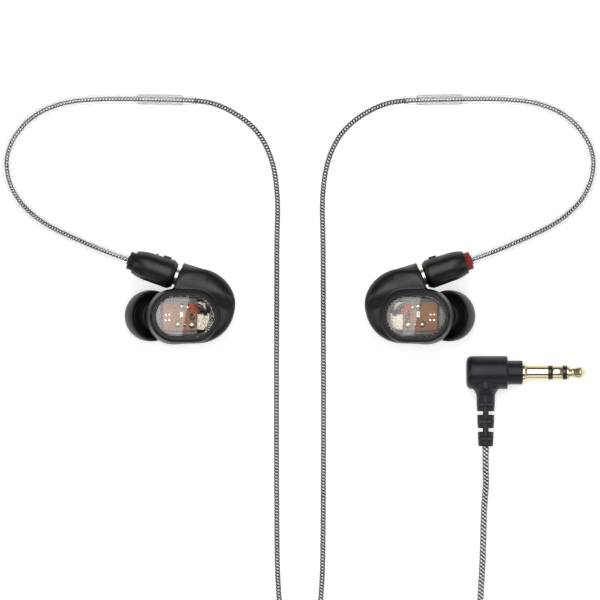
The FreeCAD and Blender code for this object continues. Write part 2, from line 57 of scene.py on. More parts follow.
def mesh_object(name, points, faces, smooth=True):
    """A mesh object at the origin, from points in metres and faces of any number of sides; smooth
    is one answer for all faces or one for each."""
    mesh = bpy.data.meshes.new(name)
    faces = faces.tolist() if isinstance(faces, np.ndarray) else faces
    mesh.from_pydata(np.asarray(points, float).reshape(-1, 3).tolist(), [], [tuple(f) for f in faces])
    mesh.polygons.foreach_set("use_smooth", np.full(len(mesh.polygons), smooth))
    mesh.update()
    made = bpy.data.objects.new(name, mesh)
    scene.collection.objects.link(made)
    return made


def fill(node, values):
    """Sets up a shader node.  A key in small letters is one of its settings; one with a capital
    names an input, with _ for a space."""
    for key, value in values.items():
        if key[0].islower():
            setattr(node, key, value)
        else:
            node.inputs[key.replace("_", " ")].default_value = value
    return node


def add(tree, kind, **values):
    """A new shader node of a kind, set up by the keywords."""
    return fill(tree.nodes.new(f"ShaderNode{kind}"), values)


def join(tree, *links):
    """Links, each given as a node, its output, the next node and that one's input."""
    for source, out, target, into in links:
        tree.links.new(source.outputs[out], target.inputs[into])


def finish(name, colour, roughness, metallic=0.0, **values):
    """A material whose only shader is a Principled BSDF; the keywords name its inputs."""
    made = bpy.data.materials.new(name)
    made.use_nodes = True
    shader = fill(made.node_tree.nodes["Principled BSDF"],
                  {"Base_Color": (*colour, 1.0), "Roughness": roughness, "Metallic": metallic, **values})
    return made, made.node_tree, shader


TABLE_HALF, TABLE_Z = 9.0, -0.0001
table_top = mesh_object("table_top", [(x * TABLE_HALF, y * TABLE_HALF, TABLE_Z) for x, y in
                                      ((-1, -1), (1, -1), (1, 1), (-1, 1))], [(0, 1, 2, 3)], False)
table_white, tree, shader = finish("table_white", (0.90, 0.90, 0.90), 0.85, Specular_IOR_Level=0.1,
                                   Emission_Color=(1.0, 1.0, 1.0, 1.0), Emission_Strength=0.50)
paper = add(tree, "TexNoise", Scale=900.0)
tooth = add(tree, "Bump", Strength=0.02, Distance=0.0002)
join(tree, (paper, "Fac", tooth, "Height"), (tooth, "Normal", shader, "Normal"))
table_top.data.materials.append(table_white)

room = bpy.data.worlds.new("room")
room.use_nodes = True
room.node_tree.nodes["Background"].inputs["Color"].default_value = (1.0, 1.0, 1.0, 1.0)
room.node_tree.nodes["Background"].inputs["Strength"].default_value = 0.15
scene.world = room


def softbox(name, place, aim, width, height, watts, turn=0.0):
    """A rectangular area light at a place, facing the aim, turned about its own axis."""
    data = bpy.data.lights.new(name, "AREA")
    data.shape = "RECTANGLE"
    data.size, data.size_y, data.energy = width, height, watts
    lamp = bpy.data.objects.new(name, data)
    lamp.location = place
    way = Vector(aim) - Vector(place)
    lamp.rotation_mode = "QUATERNION"
    lamp.rotation_quaternion = way.to_track_quat("-Z", "Y") @ Matrix.Rotation(
        math.radians(turn), 3, "Z").to_quaternion()
    scene.collection.objects.link(lamp)
    return lamp


softbox("strip_overhead", (0.0, 0.42, 1.0), (0.0, 0.42, 0.0), 0.42, 1.3, 6.2)
softbox("box_left", (-1.5, -0.1, 1.15), (0.0, 0.0, 0.0), 1.2, 1.6, 7.5)
softbox("box_right", (1.5, -0.1, 1.15), (0.0, 0.0, 0.0), 1.2, 1.6, 7.5)
softbox("box_near", (0.0, -1.7, 1.0), (0.0, 0.0, 0.0), 1.6, 0.9, 5.0)


# ---- branch cords ------------------------------------------------------------------------------
# One cord to each ear, 1.3 mm: fine silver wire braided over a black core, seen through a
# clear jacket that is extruded over the braid.
BRANCH_D = 1.3
MOUTH = np.array((-29.12, 4.74, 12.0))
MOUTH_ANGLE = math.radians(18.6)
OUT = np.array((-math.cos(MOUTH_ANGLE), math.sin(MOUTH_ANGLE), 0.0))
ACROSS = np.array((OUT[1], -OUT[0], 0.0))
UP = np.array((0.0, 0.0, 1.0))
COLLAR_END = 12.8
BRANCH_ROUTE = [MOUTH + OUT * COLLAR_END,
    (-45.8, 10.4, 12.0), (-54.4, 14.05, 10.4), (-63.3, 18.35, 6.8), (-69.9, 25.4, 3.6),
    (-71.4, 34.6, 1.9), (-66.0, 43.0, 1.3), (-57.6, 46.95, 1.25), (-48.1, 47.75, 1.4),
    (-38.6, 47.65, 1.5), (-28.7, 47.5, 1.5), (-20.1, 46.95, 0.8), (-10.9, 41.3, 0.65),
    (-6.55, 33.4, 0.65), (-5.25, 23.5, 0.65), (-5.6, 14.1, 0.65), (-5.6, 0.0, 0.65),
    (-5.7, -24.0, 0.65), (-5.65, -49.0, 0.65), (-5.4, -74.0, 0.7), (-1.6, -97.0, 1.9),
    (-1.45, -121.5, 2.0), (-1.5, -145.6, 2.0)]


def measure(line):
    """The length along a line at each of its points."""
    return np.concatenate(([0.0], np.cumsum(np.linalg.norm(np.diff(line, axis=0), axis=1))))


def route_line(points, spacing):
    """The line of a quadratic NURBS spline that has the points as its control points and runs
    from the first to the last, as points in metres an even spacing (mm) apart."""
    curve = bpy.data.curves.new("route", "CURVE")
    curve.dimensions = "3D"
    curve.resolution_u = 24
    spline = curve.splines.new("NURBS")
    spline.points.add(len(points) - 1)
    flat = np.ones((len(points), 4))
    flat[:, :3] = np.asarray(points) * MM
    spline.points.foreach_set("co", flat.ravel())
    spline.order_u = 3
    spline.use_endpoint_u = True
    holder = bpy.data.objects.new("route", curve)
    mesh = bpy.data.meshes.new_from_object(holder)
    line = np.empty(len(mesh.vertices) * 3)
    mesh.vertices.foreach_get("co", line)
    line = line.reshape(-1, 3)
    bpy.data.objects.remove(holder)
    bpy.data.curves.remove(curve)
    bpy.data.meshes.remove(mesh)
    run = measure(line)
    marks = np.linspace(0.0, run[-1], max(2, int(round(run[-1] / (spacing * MM))) + 1))
    return np.stack([np.interp(marks, run, line[:, k]) for k in range(3)], axis=1)


def part_of(line, start, end=math.inf):
    """The stretch of a line between two lengths (mm) along it, or to its end."""
    run = measure(line) / MM
    end = min(end, run[-1])
    marks = np.concatenate(([start], run[(run > start + 0.01) & (run < end - 0.01)], [end]))
    return np.stack([np.interp(marks, run, line[:, k]) for k in range(3)], axis=1)


def rings_along(line, radius, sides):
    """Circles square to a line.  With T the line's direction, the ring's level axis is
    S = Z x T and its other axis is T x S; a point is P + r (S cos a + (T x S) sin a)."""
    ahead = np.gradient(line, axis=0)
    ahead /= np.linalg.norm(ahead, axis=1, keepdims=True)
    side = np.cross(UP, ahead)
    side /= np.linalg.norm(side, axis=1, keepdims=True)
    lift = np.cross(ahead, side)
    angle = np.arange(sides) * 2 * math.pi / sides
    radius = np.broadcast_to(np.asarray(radius, float), (len(line),))[:, None, None] * MM
    return line[:, None] + radius * (side[:, None] * np.cos(angle)[:, None]
                                     + lift[:, None] * np.sin(angle)[:, None])


def grid_faces(rows, columns, close_rows=False):
    """The quads of a grid that is closed across its columns, and along its rows if asked."""
    last = rows if close_rows else rows - 1
    i, j = np.meshgrid(np.arange(last), np.arange(columns), indexing="ij")
    down, right = (i + 1) % rows, (j + 1) % columns
    return np.stack([i * columns + j, i * columns + right, down * columns + right,
                     down * columns + j], axis=-1).reshape(-1, 4)


def lay_uv(made, line, rows, columns):
    """A UV map: U is the length along the line in metres, V the share of the way round."""
    run = measure(line)
    loops = np.empty(len(made.data.loops), int)
    made.data.loops.foreach_get("vertex_index", loops)
    row, column = loops // columns, loops % columns
    share = column / columns
    quads = share[:(rows - 1) * columns * 4].reshape(-1, 4)
    quads[:] = np.where((quads < 0.25) & (quads.max(axis=1, keepdims=True) > 0.75), quads + 1, quads)
    layer = made.data.uv_layers.new(name="route")
    layer.data.foreach_set("uv", np.stack([run[np.minimum(row, rows - 1)], share], axis=1).ravel())


def end_caps(rows, columns):
    """The many-sided faces that close the first and last rows of a grid."""
    ring = np.arange(columns)[None]
    return ring[:, ::-1], (rows - 1) * columns + ring


def cord_tube(name, line, radius, sides):
    """A round solid along a line, its two ends closed by flat faces."""
    rows = len(line)
    faces = grid_faces(rows, sides).tolist()
    smooth = [True] * len(faces) + [False, False]
    for cap in end_caps(rows, sides):
        faces += cap.tolist()
    made = mesh_object(name, rings_along(line, radius, sides), faces, smooth)
    lay_uv(made, line, rows, sides)
    return made


def hose(name, line, radius, bore, sides):
    """A tube with a bore: rings out along its outside, back along the bore, closed at both ends."""
    points = np.concatenate([rings_along(line, radius, sides), rings_along(line, bore, sides)[::-1]])
    return mesh_object(name, points, grid_faces(len(points), sides, True))


def mirrored(points):
    """The other hand's points."""
    return np.asarray(points, float) * (-1.0, 1.0, 1.0)


def node_group(name, inputs, outputs):
    """A group of shader nodes from its inputs' names and values and its outputs' names and kinds."""
    group = bpy.data.node_groups.new(name, "ShaderNodeTree")
    for socket, value in inputs.items():
        kind = "NodeSocketColor" if isinstance(value, tuple) else "NodeSocketFloat"
        group.interface.new_socket(socket, in_out="INPUT", socket_type=kind).default_value = value
    for socket, kind in outputs.items():
        group.interface.new_socket(socket, in_out="OUTPUT", socket_type=f"NodeSocket{kind}")
    return group, group.nodes.new("NodeGroupInput"), group.nodes.new("NodeGroupOutput")


def maths(tree, operation, *values):
    """The result of a maths node; each value is a number or another node's output."""
    node = add(tree, "Math", operation=operation)
    for index, value in enumerate(values):
        if isinstance(value, (int, float)):
            node.inputs[index].default_value = value
        else:
            tree.links.new(value, node.inputs[index])
    return node.outputs[0]


def braid_group():
    """Two families of wires wound opposite ways over a core: waves sin 2 pi (n V + U/p) and
    sin 2 pi (n V - U/p).  The core shows where the first is high and the second is not."""
    group, given, told = node_group("braided_wire", {"Pitch": 0.0006, "Wires": 3.0, "Black": 0.2},
                                    {"Colour": "Color", "Metal": "Float", "Roughness": "Float",
                                     "Height": "Float"})
    split = add(group, "SeparateXYZ")
    join(group, (add(group, "UVMap", uv_map="route"), "UV", split, 0))
    along = maths(group, "DIVIDE", split.outputs["X"], given.outputs["Pitch"])
    around = maths(group, "MULTIPLY", split.outputs["Y"], given.outputs["Wires"])
    one, two = maths(group, "ADD", around, along), maths(group, "SUBTRACT", around, along)
    wave_one, wave_two, fine, fine_other = (
        maths(group, "SINE", maths(group, "MULTIPLY", phase, times * math.pi))
        for phase, times in ((one, 2), (two, 2), (two, 10), (one, 10)))
    dark = add(group, "MapRange", interpolation_type="SMOOTHSTEP", From_Min=-0.28, From_Max=-0.02)
    shift = maths(group, "ADD", wave_one, given.outputs["Black"])
    group.links.new(maths(group, "ADD", shift, maths(group, "MULTIPLY", wave_two, -0.55)),
                    dark.inputs["Value"])
    tone = add(group, "Mix", data_type="RGBA", A=(0.74, 0.74, 0.75, 1.0), B=(0.95, 0.95, 0.95, 1.0))
    group.links.new(maths(group, "MULTIPLY_ADD", fine, 0.5, 0.5), tone.inputs["Factor"])
    colour = add(group, "Mix", data_type="RGBA", B=(0.003, 0.003, 0.0035, 1.0))
    join(group, (dark, "Result", colour, "Factor"), (tone, "Result", colour, "A"),
         (colour, "Result", told, "Colour"))
    shown = dark.outputs["Result"]
    bright = maths(group, "SUBTRACT", 1.0, shown)
    strands = maths(group, "MULTIPLY", maths(group, "MULTIPLY", fine, fine_other), 0.15)
    for value, socket in ((maths(group, "MULTIPLY", bright, 0.15), "Metal"),
                          (maths(group, "MULTIPLY_ADD", shown, 0.22, 0.28), "Roughness"),
                          (maths(group, "ADD", maths(group, "MULTIPLY", bright, 0.7), strands), "Height")):
        group.links.new(value, told.inputs[socket])
    return group


BRAID = braid_group()


def braid_finish(name, pitch, wires, black):
    """Braided wire of a pitch (m) with so many wires each way, and its own bump."""
    made, tree, shader = finish(name, (0.5, 0.5, 0.5), 0.35)
    weave = add(tree, "Group", node_tree=BRAID, Pitch=pitch, Wires=wires, Black=black)
    bump = add(tree, "Bump", Strength=0.7, Distance=0.00006)
    join(tree, (weave, "Colour", shader, "Base Color"), (weave, "Metal", shader, "Metallic"),
         (weave, "Roughness", shader, "Roughness"), (weave, "Height", bump, "Height"),
         (bump, "Normal", shader, "Normal"))
    return made


def clear_finish(name, tint, roughness, ior, ripple, scale, rim=(0.9, 0.9, 0.9)):
    """Clear extruded plastic: full transmission with faint ripples in its surface, painted shade at
    its rim, where the tint darkens towards the rim colour as the surface turns from the camera, for
    the dark edges that refraction gives, and light let straight through to what lies behind it."""
    made, tree, shader = finish(name, tint, roughness, IOR=ior, Transmission_Weight=1.0)
    waves = add(tree, "TexNoise", Scale=scale, Detail=3.0)
    bump = add(tree, "Bump", Strength=ripple, Distance=0.0001)
    # Painted shade: the base colour darkens from the tint to the rim colour where the surface turns from the
    # camera.
    facing = add(tree, "LayerWeight", Blend=0.5)
    edge = add(tree, "MapRange", interpolation_type="SMOOTHSTEP", From_Min=0.22, From_Max=0.80)
    depth = add(tree, "Mix", data_type="RGBA", A=(*tint, 1.0), B=(*rim, 1.0))
    through = add(tree, "BsdfTransparent", Color=(*[0.5 + 0.5 * c for c in tint], 1.0))
    mix = add(tree, "MixShader")
    join(tree, (add(tree, "TexCoord"), "Object", waves, "Vector"), (waves, "Fac", bump, "Height"),
         (bump, "Normal", shader, "Normal"), (facing, "Facing", edge, "Value"),
         (edge, "Result", depth, "Factor"), (depth, "Result", shader, "Base Color"),
         (add(tree, "LightPath"), "Is Shadow Ray", mix, "Fac"), (shader, "BSDF", mix, 1),
         (through, "BSDF", mix, 2), (mix, "Shader", tree.nodes["Material Output"], "Surface"))
    return made


jacket_clear = clear_finish("clear_jacket", (0.97, 0.97, 0.96), 0.06, 1.40, 0.10, 800.0)
branch_braid = braid_finish("branch_braid", 0.00074, 2.0, 0.45)
BRAID_INSET = 0.05
branch_lines, branch_cords, branch_cores = {}, {}, {}
for side in ("left", "right"):
    points = BRANCH_ROUTE if side == "left" else mirrored(BRANCH_ROUTE)
    line = route_line(points, 0.4)
    branch_lines[side] = line
    jacket = cord_tube(f"branch_cord_jacket_{side}", line, BRANCH_D / 2, 20)
    jacket.data.materials.append(jacket_clear)
    inner = part_of(line, BRAID_INSET)
    beyond_hook = 1 / (1 + np.exp(-(measure(inner) / MM - 94.0) * 1.2))
    core = cord_tube(f"branch_cord_braid_{side}", inner, 0.36 + 0.13 * beyond_hook, 16)
    core.data.materials.append(branch_braid)
    for piece in (jacket, core):
        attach(piece, "cable_harness")
    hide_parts(f"branch_cord_{side}")
    branch_cords[side], branch_cores[side] = jacket, core


# ---- ear hooks ---------------------------------------------------------------------------------
# A springy clear tube of 2.2 mm over the first 95 mm of each branch, heat-formed to pass over
# the ear, with a short clear sleeve shrunk over its far end.
HOOK_D, HOOK_BORE, HOOK_LENGTH = 2.2, 1.5, 95.0
SHRINK_D, SHRINK_FROM, SHRINK_LENGTH = 2.7, 81.0, 10.8
# Painted shade: the hook's rim colour is near black and the sleeve's dark grey, for the dark edges of a clear
# tube.
hook_clear = clear_finish("clear_hook", (0.97, 0.98, 0.98), 0.03, 1.42, 0.06, 500.0, (0.04, 0.04, 0.045))
shrink_clear = clear_finish("clear_shrink", (0.93, 0.93, 0.94), 0.12, 1.40, 0.35, 1400.0,
                            (0.16, 0.16, 0.17))
hooks = {}
for side, line in branch_lines.items():
    hook = hose(f"ear_hook_tube_{side}", part_of(line, 0.0, HOOK_LENGTH), HOOK_D / 2, HOOK_BORE / 2, 32)
    hook.data.materials.append(hook_clear)
    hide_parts(f"ear_hook_{side}")
    stretch = part_of(line, SHRINK_FROM, SHRINK_FROM + SHRINK_LENGTH)
    share = np.linspace(0, 1, len(stretch))
    wall = SHRINK_D / 2 - 0.16 * np.exp(-share * 12) - 0.16 * np.exp(-(1 - share) * 12)
    shrink = hose(f"hook_shrink_sleeve_{side}", stretch, wall, HOOK_D / 2 + 0.02, 32)
    shrink.data.materials.append(shrink_clear)
    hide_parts(f"hook_sleeve_{side}")
    for piece in (hook, shrink):
        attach(piece, "cable_harness")
    hooks[side] = [hook, shrink]


# ---- main cord ---------------------------------------------------------------------------------
# The same braid at 1.6 mm from the splitter to the plug.  What isn't in use is wound into a
# neat coil of four layers, and the cord comes off its top to the plug.
MAIN_D = 1.6
LEAD_ROUTE = [(0.0, -158.8, 2.0), (0.4, -165.0, 1.1), (6.0, -171.5, 0.8), (16.0, -172.0, 0.8),
              (26.0, -165.5, 0.8), (34.0, -152.0, 0.8), (39.5, -136.0, 0.8), (42.1, -118.0, 0.8),
              (42.3, -106.0, 0.8)]
TAIL_ROUTE = [(42.4, -88.0, 5.4), (42.9, -81.0, 4.0), (43.5, -74.0, 1.7), (44.2, -62.0, 0.8),
              (44.4, -51.0, 0.9), (44.95, -45.0, 2.3), (44.7, -40.3, 3.9), (44.8, -36.1, 4.0)]
COIL_CENTRE = np.array((30.0, -97.0, 0.0))
COIL_OUT, COIL_IN = 12.2, 5.8


def coil_route(per_turn=16):
    """Points of a coil wound counter-clockwise in four layers, in, out, in and out again.  In a
    layer the radius goes evenly from one edge to the other in four turns; between layers the
    cord climbs one diameter in a third of a turn.  Points stand a little outside the turns,
    by 1 / cos(half a step), because the spline cuts inside them."""
    turns, radii, heights = [], [], []
    start, level, edges = 0.0, MAIN_D / 2, (COIL_OUT, COIL_IN)
    for layer in range(4):
        first, last = edges if layer % 2 == 0 else edges[::-1]
        steps = np.arange(4 * per_turn) / per_turn
        turns.append(start + steps)
        radii.append(first + (last - first) * steps / 4)
        heights.append(np.full(len(steps), level))
        start += 4
        if layer < 3:
            climb = np.arange(5) / 5
            turns.append(start + climb / 3)
            radii.append(np.full(5, last))
            heights.append(level + MAIN_D * climb)
            start += 1 / 3
            level += MAIN_D
    turns, radii, heights = (np.concatenate(part) for part in (turns, radii, heights))
    angle = 2 * math.pi * turns
    radii = radii / math.cos(math.pi / per_turn)
    return COIL_CENTRE + np.stack([radii * np.cos(angle), radii * np.sin(angle), heights], axis=1)


main_line = route_line(np.concatenate([LEAD_ROUTE, coil_route(), TAIL_ROUTE]), 0.5)
main_jacket = cord_tube("main_cord_jacket", main_line, MAIN_D / 2, 18)
main_jacket.data.materials.append(jacket_clear)
main_core = cord_tube("main_cord_braid", part_of(main_line, BRAID_INSET), MAIN_D / 2 - 0.18, 14)
main_core.data.materials.append(braid_finish("main_braid", 0.00090, 3.0, 0.25))
for piece in (main_jacket, main_core):
    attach(piece, "cable_harness")
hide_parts("main_cord_lead", "main_cord_coil", "main_cord_tail")


# ---- splitter and slider -----------------------------------------------------------------------
# Moulded yoke where the branches join the main cord, and the loose slider above it that draws
# the two branches together under the chin.  Both are black satin plastic.
def plastic_group():
    """Fine spark-eroded grain, slow change in gloss as from handling, and a trace of dust."""
    group, given, told = node_group(
        "moulded_plastic",
        {"Grain": 9000.0, "Depth": 0.2, "Roughness": 0.4, "Dust": 0.02, "Tint": (0.02, 0.02, 0.02, 1.0)},
        {"Colour": "Color", "Roughness": "Float", "Normal": "Vector"})
    where = add(group, "TexCoord")
    grain, handled, specks = (add(group, "TexNoise", Scale=scale, Detail=detail) for scale, detail in
                              ((9000.0, 4.0), (260.0, 3.0), (5200.0, 1.0)))
    bump = add(group, "Bump", Distance=0.00003)
    fleck = add(group, "MapRange", From_Min=0.66, From_Max=0.78)
    shade = add(group, "Mix", data_type="RGBA", B=(0.45, 0.44, 0.42, 1.0))
    join(group, *[(where, "Object", node, "Vector") for node in (grain, handled, specks)],
         (given, "Grain", grain, "Scale"), (given, "Depth", bump, "Strength"),
         (grain, "Fac", bump, "Height"), (bump, "Normal", told, "Normal"),
         (specks, "Fac", fleck, "Value"), (given, "Tint", shade, "A"), (shade, "Result", told, "Colour"))
    base = maths(group, "SUBTRACT", given.outputs["Roughness"], 0.11)
    gloss = maths(group, "MULTIPLY_ADD", handled.outputs["Fac"], 0.22, base)
    amount = maths(group, "MULTIPLY", fleck.outputs["Result"], given.outputs["Dust"])
    group.links.new(gloss, told.inputs["Roughness"])
    group.links.new(amount, shade.inputs["Factor"])
    return group


PLASTIC = plastic_group()


def moulded(name, tint, roughness, grain=9000.0, depth=0.2, dust=0.02, **values):
    """A moulded plastic or rubber with its own tint, gloss and grain."""
    made, tree, shader = finish(name, tint, roughness, **values)
    skin = add(tree, "Group", node_tree=PLASTIC, Tint=(*tint, 1.0), Roughness=roughness, Grain=grain,
               Depth=depth, Dust=dust)
    join(tree, (skin, "Colour", shader, "Base Color"), (skin, "Roughness", shader, "Roughness"),
         (skin, "Normal", shader, "Normal"))
    return made


def dress(material, *names):
    """Puts a material on CAD nodes, in place of what their slots hold."""
    for name in names:
        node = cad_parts[name]
        for slot in node.material_slots:
            slot.material = material
        if not node.material_slots:
            node.data.materials.append(material)


def both(name):
    """A paired node's two names."""
    return [f"{name}_left", f"{name}_right"]


yoke_black = moulded("yoke_black", (0.006, 0.006, 0.007), 0.40, 8000.0, 0.2, 0.006,
                     Specular_IOR_Level=0.38)
dress(yoke_black, "splitter", "chin_slider")


# ---- shells ------------------------------------------------------------------------------------
# Each earpiece's housing is two black satin mouldings glued on a parting line: the front with
# a raised rim for the window and a half-round ridge that holds the socket, the back with the
# boss that the nozzle comes out of.
SHELL_CENTRE = np.array((-28.0, -4.74, 12.2))
SHELL_TILT = math.radians(8.0)
TURN = np.array(((math.cos(SHELL_TILT), 0, math.sin(SHELL_TILT)), (0, 1, 0),
                 (-math.sin(SHELL_TILT), 0, math.cos(SHELL_TILT))))
SHELL_HALF = 5.2
EAR_LOBE, EAR_LOBE_R = np.array((-2.4, 0.0)), 6.6
BIG_LOBE, BIG_LOBE_R = np.array((3.15, 2.5)), 9.0
SHOULDER_Z = 3.9
WINDOW_X, WINDOW_REACH = -0.45, 2.2
RIM_R, RIM_STEP_R = 6.32, 0.17
WELL_R, THROAT_R, SEAT_Z = 5.82, 4.55, 3.65
PARTING_Z = -0.8
HORN_R, HORN_Z, HORN_REACH, HORN_ROOT, HORN_FLARE = 3.6, 12.1, 15.0, 6.25, 0.136
SOCKET_BORE_R, SOCKET_DEPTH = 2.72, 5.2
BOSS_R, NOZZLE_HOLE_R, WALL = 3.07, 2.47, 1.0
BACK_EDGE_R, FRONT_EDGE_R = 4.0, 1.9
GLUE_GAP = 0.015
TIP_CENTRE = np.array((-36.05, -4.6, 6.435))
NOSE = np.array((-0.5, 0.0, -math.cos(math.radians(30.0))))


def blend_join(a, b, width):
    """Two solids joined, with a fillet about this wide where they meet: a smooth minimum."""
    share = np.clip(0.5 + 0.5 * (b - a) / width, 0, 1)
    return b + (a - b) * share - width * share * (1 - share)


def blend_meet(a, b, width):
    """What two solids share, its new edge rounded over: a smooth maximum."""
    return -blend_join(-a, -b, width)


def egg(x, y, one, one_r, two, two_r):
    """Distance in a plane to the outline round two circles and the lines that touch both."""
    way = two - one
    reach = np.linalg.norm(way)
    way = way / reach
    along = (x - one[0]) * way[0] + (y - one[1]) * way[1]
    aside = np.abs((x - one[0]) * way[1] - (y - one[1]) * way[0])
    lean = (one_r - two_r) / reach
    rise = math.sqrt(1 - lean * lean)
    mark = along * rise - aside * lean
    near, far = np.hypot(along, aside) - one_r, np.hypot(along - reach, aside) - two_r
    middle = aside * rise + along * lean - one_r
    return np.where(mark < 0, near, np.where(mark > reach * rise, far, middle))


def raised(flat, height, low, high, low_r, high_r):
    """The solid over a flat outline between two heights, with its edges rounded."""
    middle = (low + high) / 2
    round_r = np.where(height > middle, high_r, low_r)
    out = flat + round_r
    over = np.abs(height - middle) - (high - low) / 2 + round_r
    return np.minimum(np.maximum(out, over), 0) + np.hypot(np.maximum(out, 0), np.maximum(over, 0)) - round_r


def oval(x, y, radius):
    """Distance in a plane to the outline of an oval: two half circles and the sides between."""
    return egg(x, y, np.array((-WINDOW_REACH, 0.0)), 0.0, np.array((WINDOW_REACH, 0.0)), 0.0) - radius


def shell_field(at, front):
    """Less than zero inside one half of the left shell.  Lobes, horn, rim and boss are joined
    with fillets; the cavity, window well, socket bore and nozzle hole are taken away."""
    local = (at - SHELL_CENTRE) @ TURN
    x, y, z = local[:, 0], local[:, 1], local[:, 2]
    out = (at - MOUTH) @ OUT
    aside = (at - MOUTH) @ ACROSS
    widening = HORN_FLARE * np.clip(-out / HORN_ROOT, 0, 1)
    horn = np.hypot(aside, at[:, 2] - HORN_Z) - widening - HORN_R
    nose = (at - TIP_CENTRE) @ NOSE
    nose_r = np.linalg.norm((at - TIP_CENTRE) - nose[:, None] * NOSE, axis=1)
    lobes = egg(x, y, EAR_LOBE, EAR_LOBE_R, BIG_LOBE, BIG_LOBE_R)
    small = np.hypot(x - EAR_LOBE[0], y - EAR_LOBE[1]) - EAR_LOBE_R
    window = oval(x - WINDOW_X, y, 0.0)
    body = np.maximum(raised(lobes, z, -SHELL_HALF, SHOULDER_Z, BACK_EDGE_R, FRONT_EDGE_R), out)
    ridge = blend_meet(horn, np.maximum(lobes, -out - HORN_REACH), 3.4)
    ridge = np.where(out > -6.6, np.minimum(ridge, np.maximum(horn, -out - HORN_ROOT)), ridge)
    body = blend_join(body, np.maximum(ridge, out), 1.5)
    plan = np.minimum(lobes, np.maximum(np.abs(aside) - HORN_R - widening, -out - HORN_ROOT))
    body = np.maximum(body, plan)
    ear = raised(small, z, -SHELL_HALF, SHOULDER_Z, BACK_EDGE_R, FRONT_EDGE_R)
    body = blend_join(body, ear, 0.7)
    body = blend_join(body, raised(window - RIM_R, z, 0.0, SHELL_HALF, 0.0, 0.45), 0.55)
    boss = np.maximum(nose_r - BOSS_R, np.maximum(-4.6 - nose, nose + 2.6))
    body = blend_join(body, boss, 0.8)
    step = np.hypot(window - RIM_R - 0.78, z - SHOULDER_Z + 0.05) - RIM_STEP_R
    body = np.where((x < 2.5) & (y < 6.0), blend_meet(body, -step, 0.12), body)
    hollow = raised(lobes + WALL, z, WALL - SHELL_HALF, SHOULDER_Z - WALL, 3.0, 1.2)
    hollow = np.maximum(hollow, out + WALL)
    hollow = np.minimum(hollow, raised(small + WALL, z, WALL - SHELL_HALF, SHOULDER_Z - WALL, 3.0, 1.2))
    throat = np.maximum(window - THROAT_R, np.abs(z - 2.5) - 2.5)
    hollow = np.maximum(np.minimum(hollow, throat), -np.maximum(horn, -out - 6.4))
    well = np.maximum(window - WELL_R, SEAT_Z - z)
    bore = np.maximum(np.hypot(aside, at[:, 2] - MOUTH[2]) - SOCKET_BORE_R, -SOCKET_DEPTH - out)
    hole = np.maximum(nose_r - NOZZLE_HOLE_R, nose + 1.6)
    taken = np.minimum(np.minimum(hollow, well), np.minimum(bore, hole))
    body = blend_meet(body, -taken, 0.10)
    half = (PARTING_Z + GLUE_GAP - z) if front else (z - PARTING_Z + GLUE_GAP)
    return blend_meet(body, half, 0.14)


def field_skin(field, low, high, step):
    """The closed surface where a field is zero.  Each cell of a cubic grid that the surface
    crosses gets a point, the mean of the crossings on its edges, and each crossed grid edge
    gets a quad of its four cells, wound to face outwards.  The points are then moved down the
    field's slope onto zero, p - f(p) g / |g|^2, four times."""
    axes = [np.arange(a, b + step, step) for a, b in zip(low, high)]
    size = [len(a) for a in axes]
    values = field(np.stack(np.meshgrid(*axes, indexing="ij"), axis=-1).reshape(-1, 3)).reshape(size)
    inside = values < 0
    cells = tuple(n - 1 for n in size)
    total, count = np.zeros((*cells, 3)), np.zeros(cells)
    faces = []
    number = np.full(cells, -1)
    for axis in range(3):
        first = [slice(0, n) for n in size]
        second = list(first)
        first[axis], second[axis] = slice(0, size[axis] - 1), slice(1, size[axis])
        a, b = values[tuple(first)], values[tuple(second)]
        crossed = inside[tuple(first)] != inside[tuple(second)]
        share = np.where(crossed, a / np.where(crossed, a - b, 1.0), 0.0)
        others = [k for k in range(3) if k != axis]
        for p in (0, 1):
            for q in (0, 1):
                pick = [slice(None)] * 3
                pick[others[0]] = slice(p, p + cells[others[0]])
                pick[others[1]] = slice(q, q + cells[others[1]])
                hit = crossed[tuple(pick)]
                total[..., axis] += np.where(hit, share[tuple(pick)], 0)
                total[..., others[0]] += hit * p
                total[..., others[1]] += hit * q
                count += hit
    used = count > 0
    number[used] = np.arange(used.sum())
    corner = np.stack(np.nonzero(used), axis=1)
    points = np.asarray(low) + step * (corner + total[used] / count[used][:, None])
    for axis in range(3):
        one, two = (axis + 1) % 3, (axis + 2) % 3
        first, second = [slice(1, n - 1) for n in size], [slice(1, n - 1) for n in size]
        first[axis], second[axis] = slice(0, size[axis] - 1), slice(1, size[axis])
        a, b = inside[tuple(first)], inside[tuple(second)]
        place = np.stack(np.nonzero(a != b), axis=1)
        leaving = a[tuple(place.T)]
        place[:, one] += 1
        place[:, two] += 1
        ring = []
        for back_one, back_two in ((1, 1), (0, 1), (0, 0), (1, 0)):
            cell = place.copy()
            cell[:, one] -= back_one
            cell[:, two] -= back_two
            ring.append(number[tuple(cell.T)])
        quad = np.stack(ring, axis=1)
        quad[~leaving] = quad[~leaving, ::-1]
        faces.append(quad)
    nudge = 0.02
    for _ in range(4):
        here = field(points)
        slope = np.stack([(field(points + nudge * e) - field(points - nudge * e)) / (2 * nudge)
                          for e in np.eye(3)], axis=1)
        square = np.maximum((slope ** 2).sum(axis=1), 0.3)
        move = -(here / square)[:, None] * slope
        far = np.maximum(np.linalg.norm(move, axis=1), 1e-9)
        points = points + move * np.minimum(1.0, 0.5 * step / far)[:, None]
    return points, np.concatenate(faces)


def single(name, points, faces, material, body="cable_harness", replaces=(), flats=True):
    """One piece from points in mm and faces of any number of sides.  Its normals can be weighted
    by area, so that flat faces stay flat beside rounded edges."""
    made = mesh_object(name, np.asarray(points) * MM, faces)
    if flats:
        weighted = made.modifiers.new("flats", "WEIGHTED_NORMAL")
        weighted.mode = "FACE_AREA"
        weighted.weight = 50
    made.data.materials.append(material)
    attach(made, body)
    if replaces:
        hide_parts(*replaces)
    return made


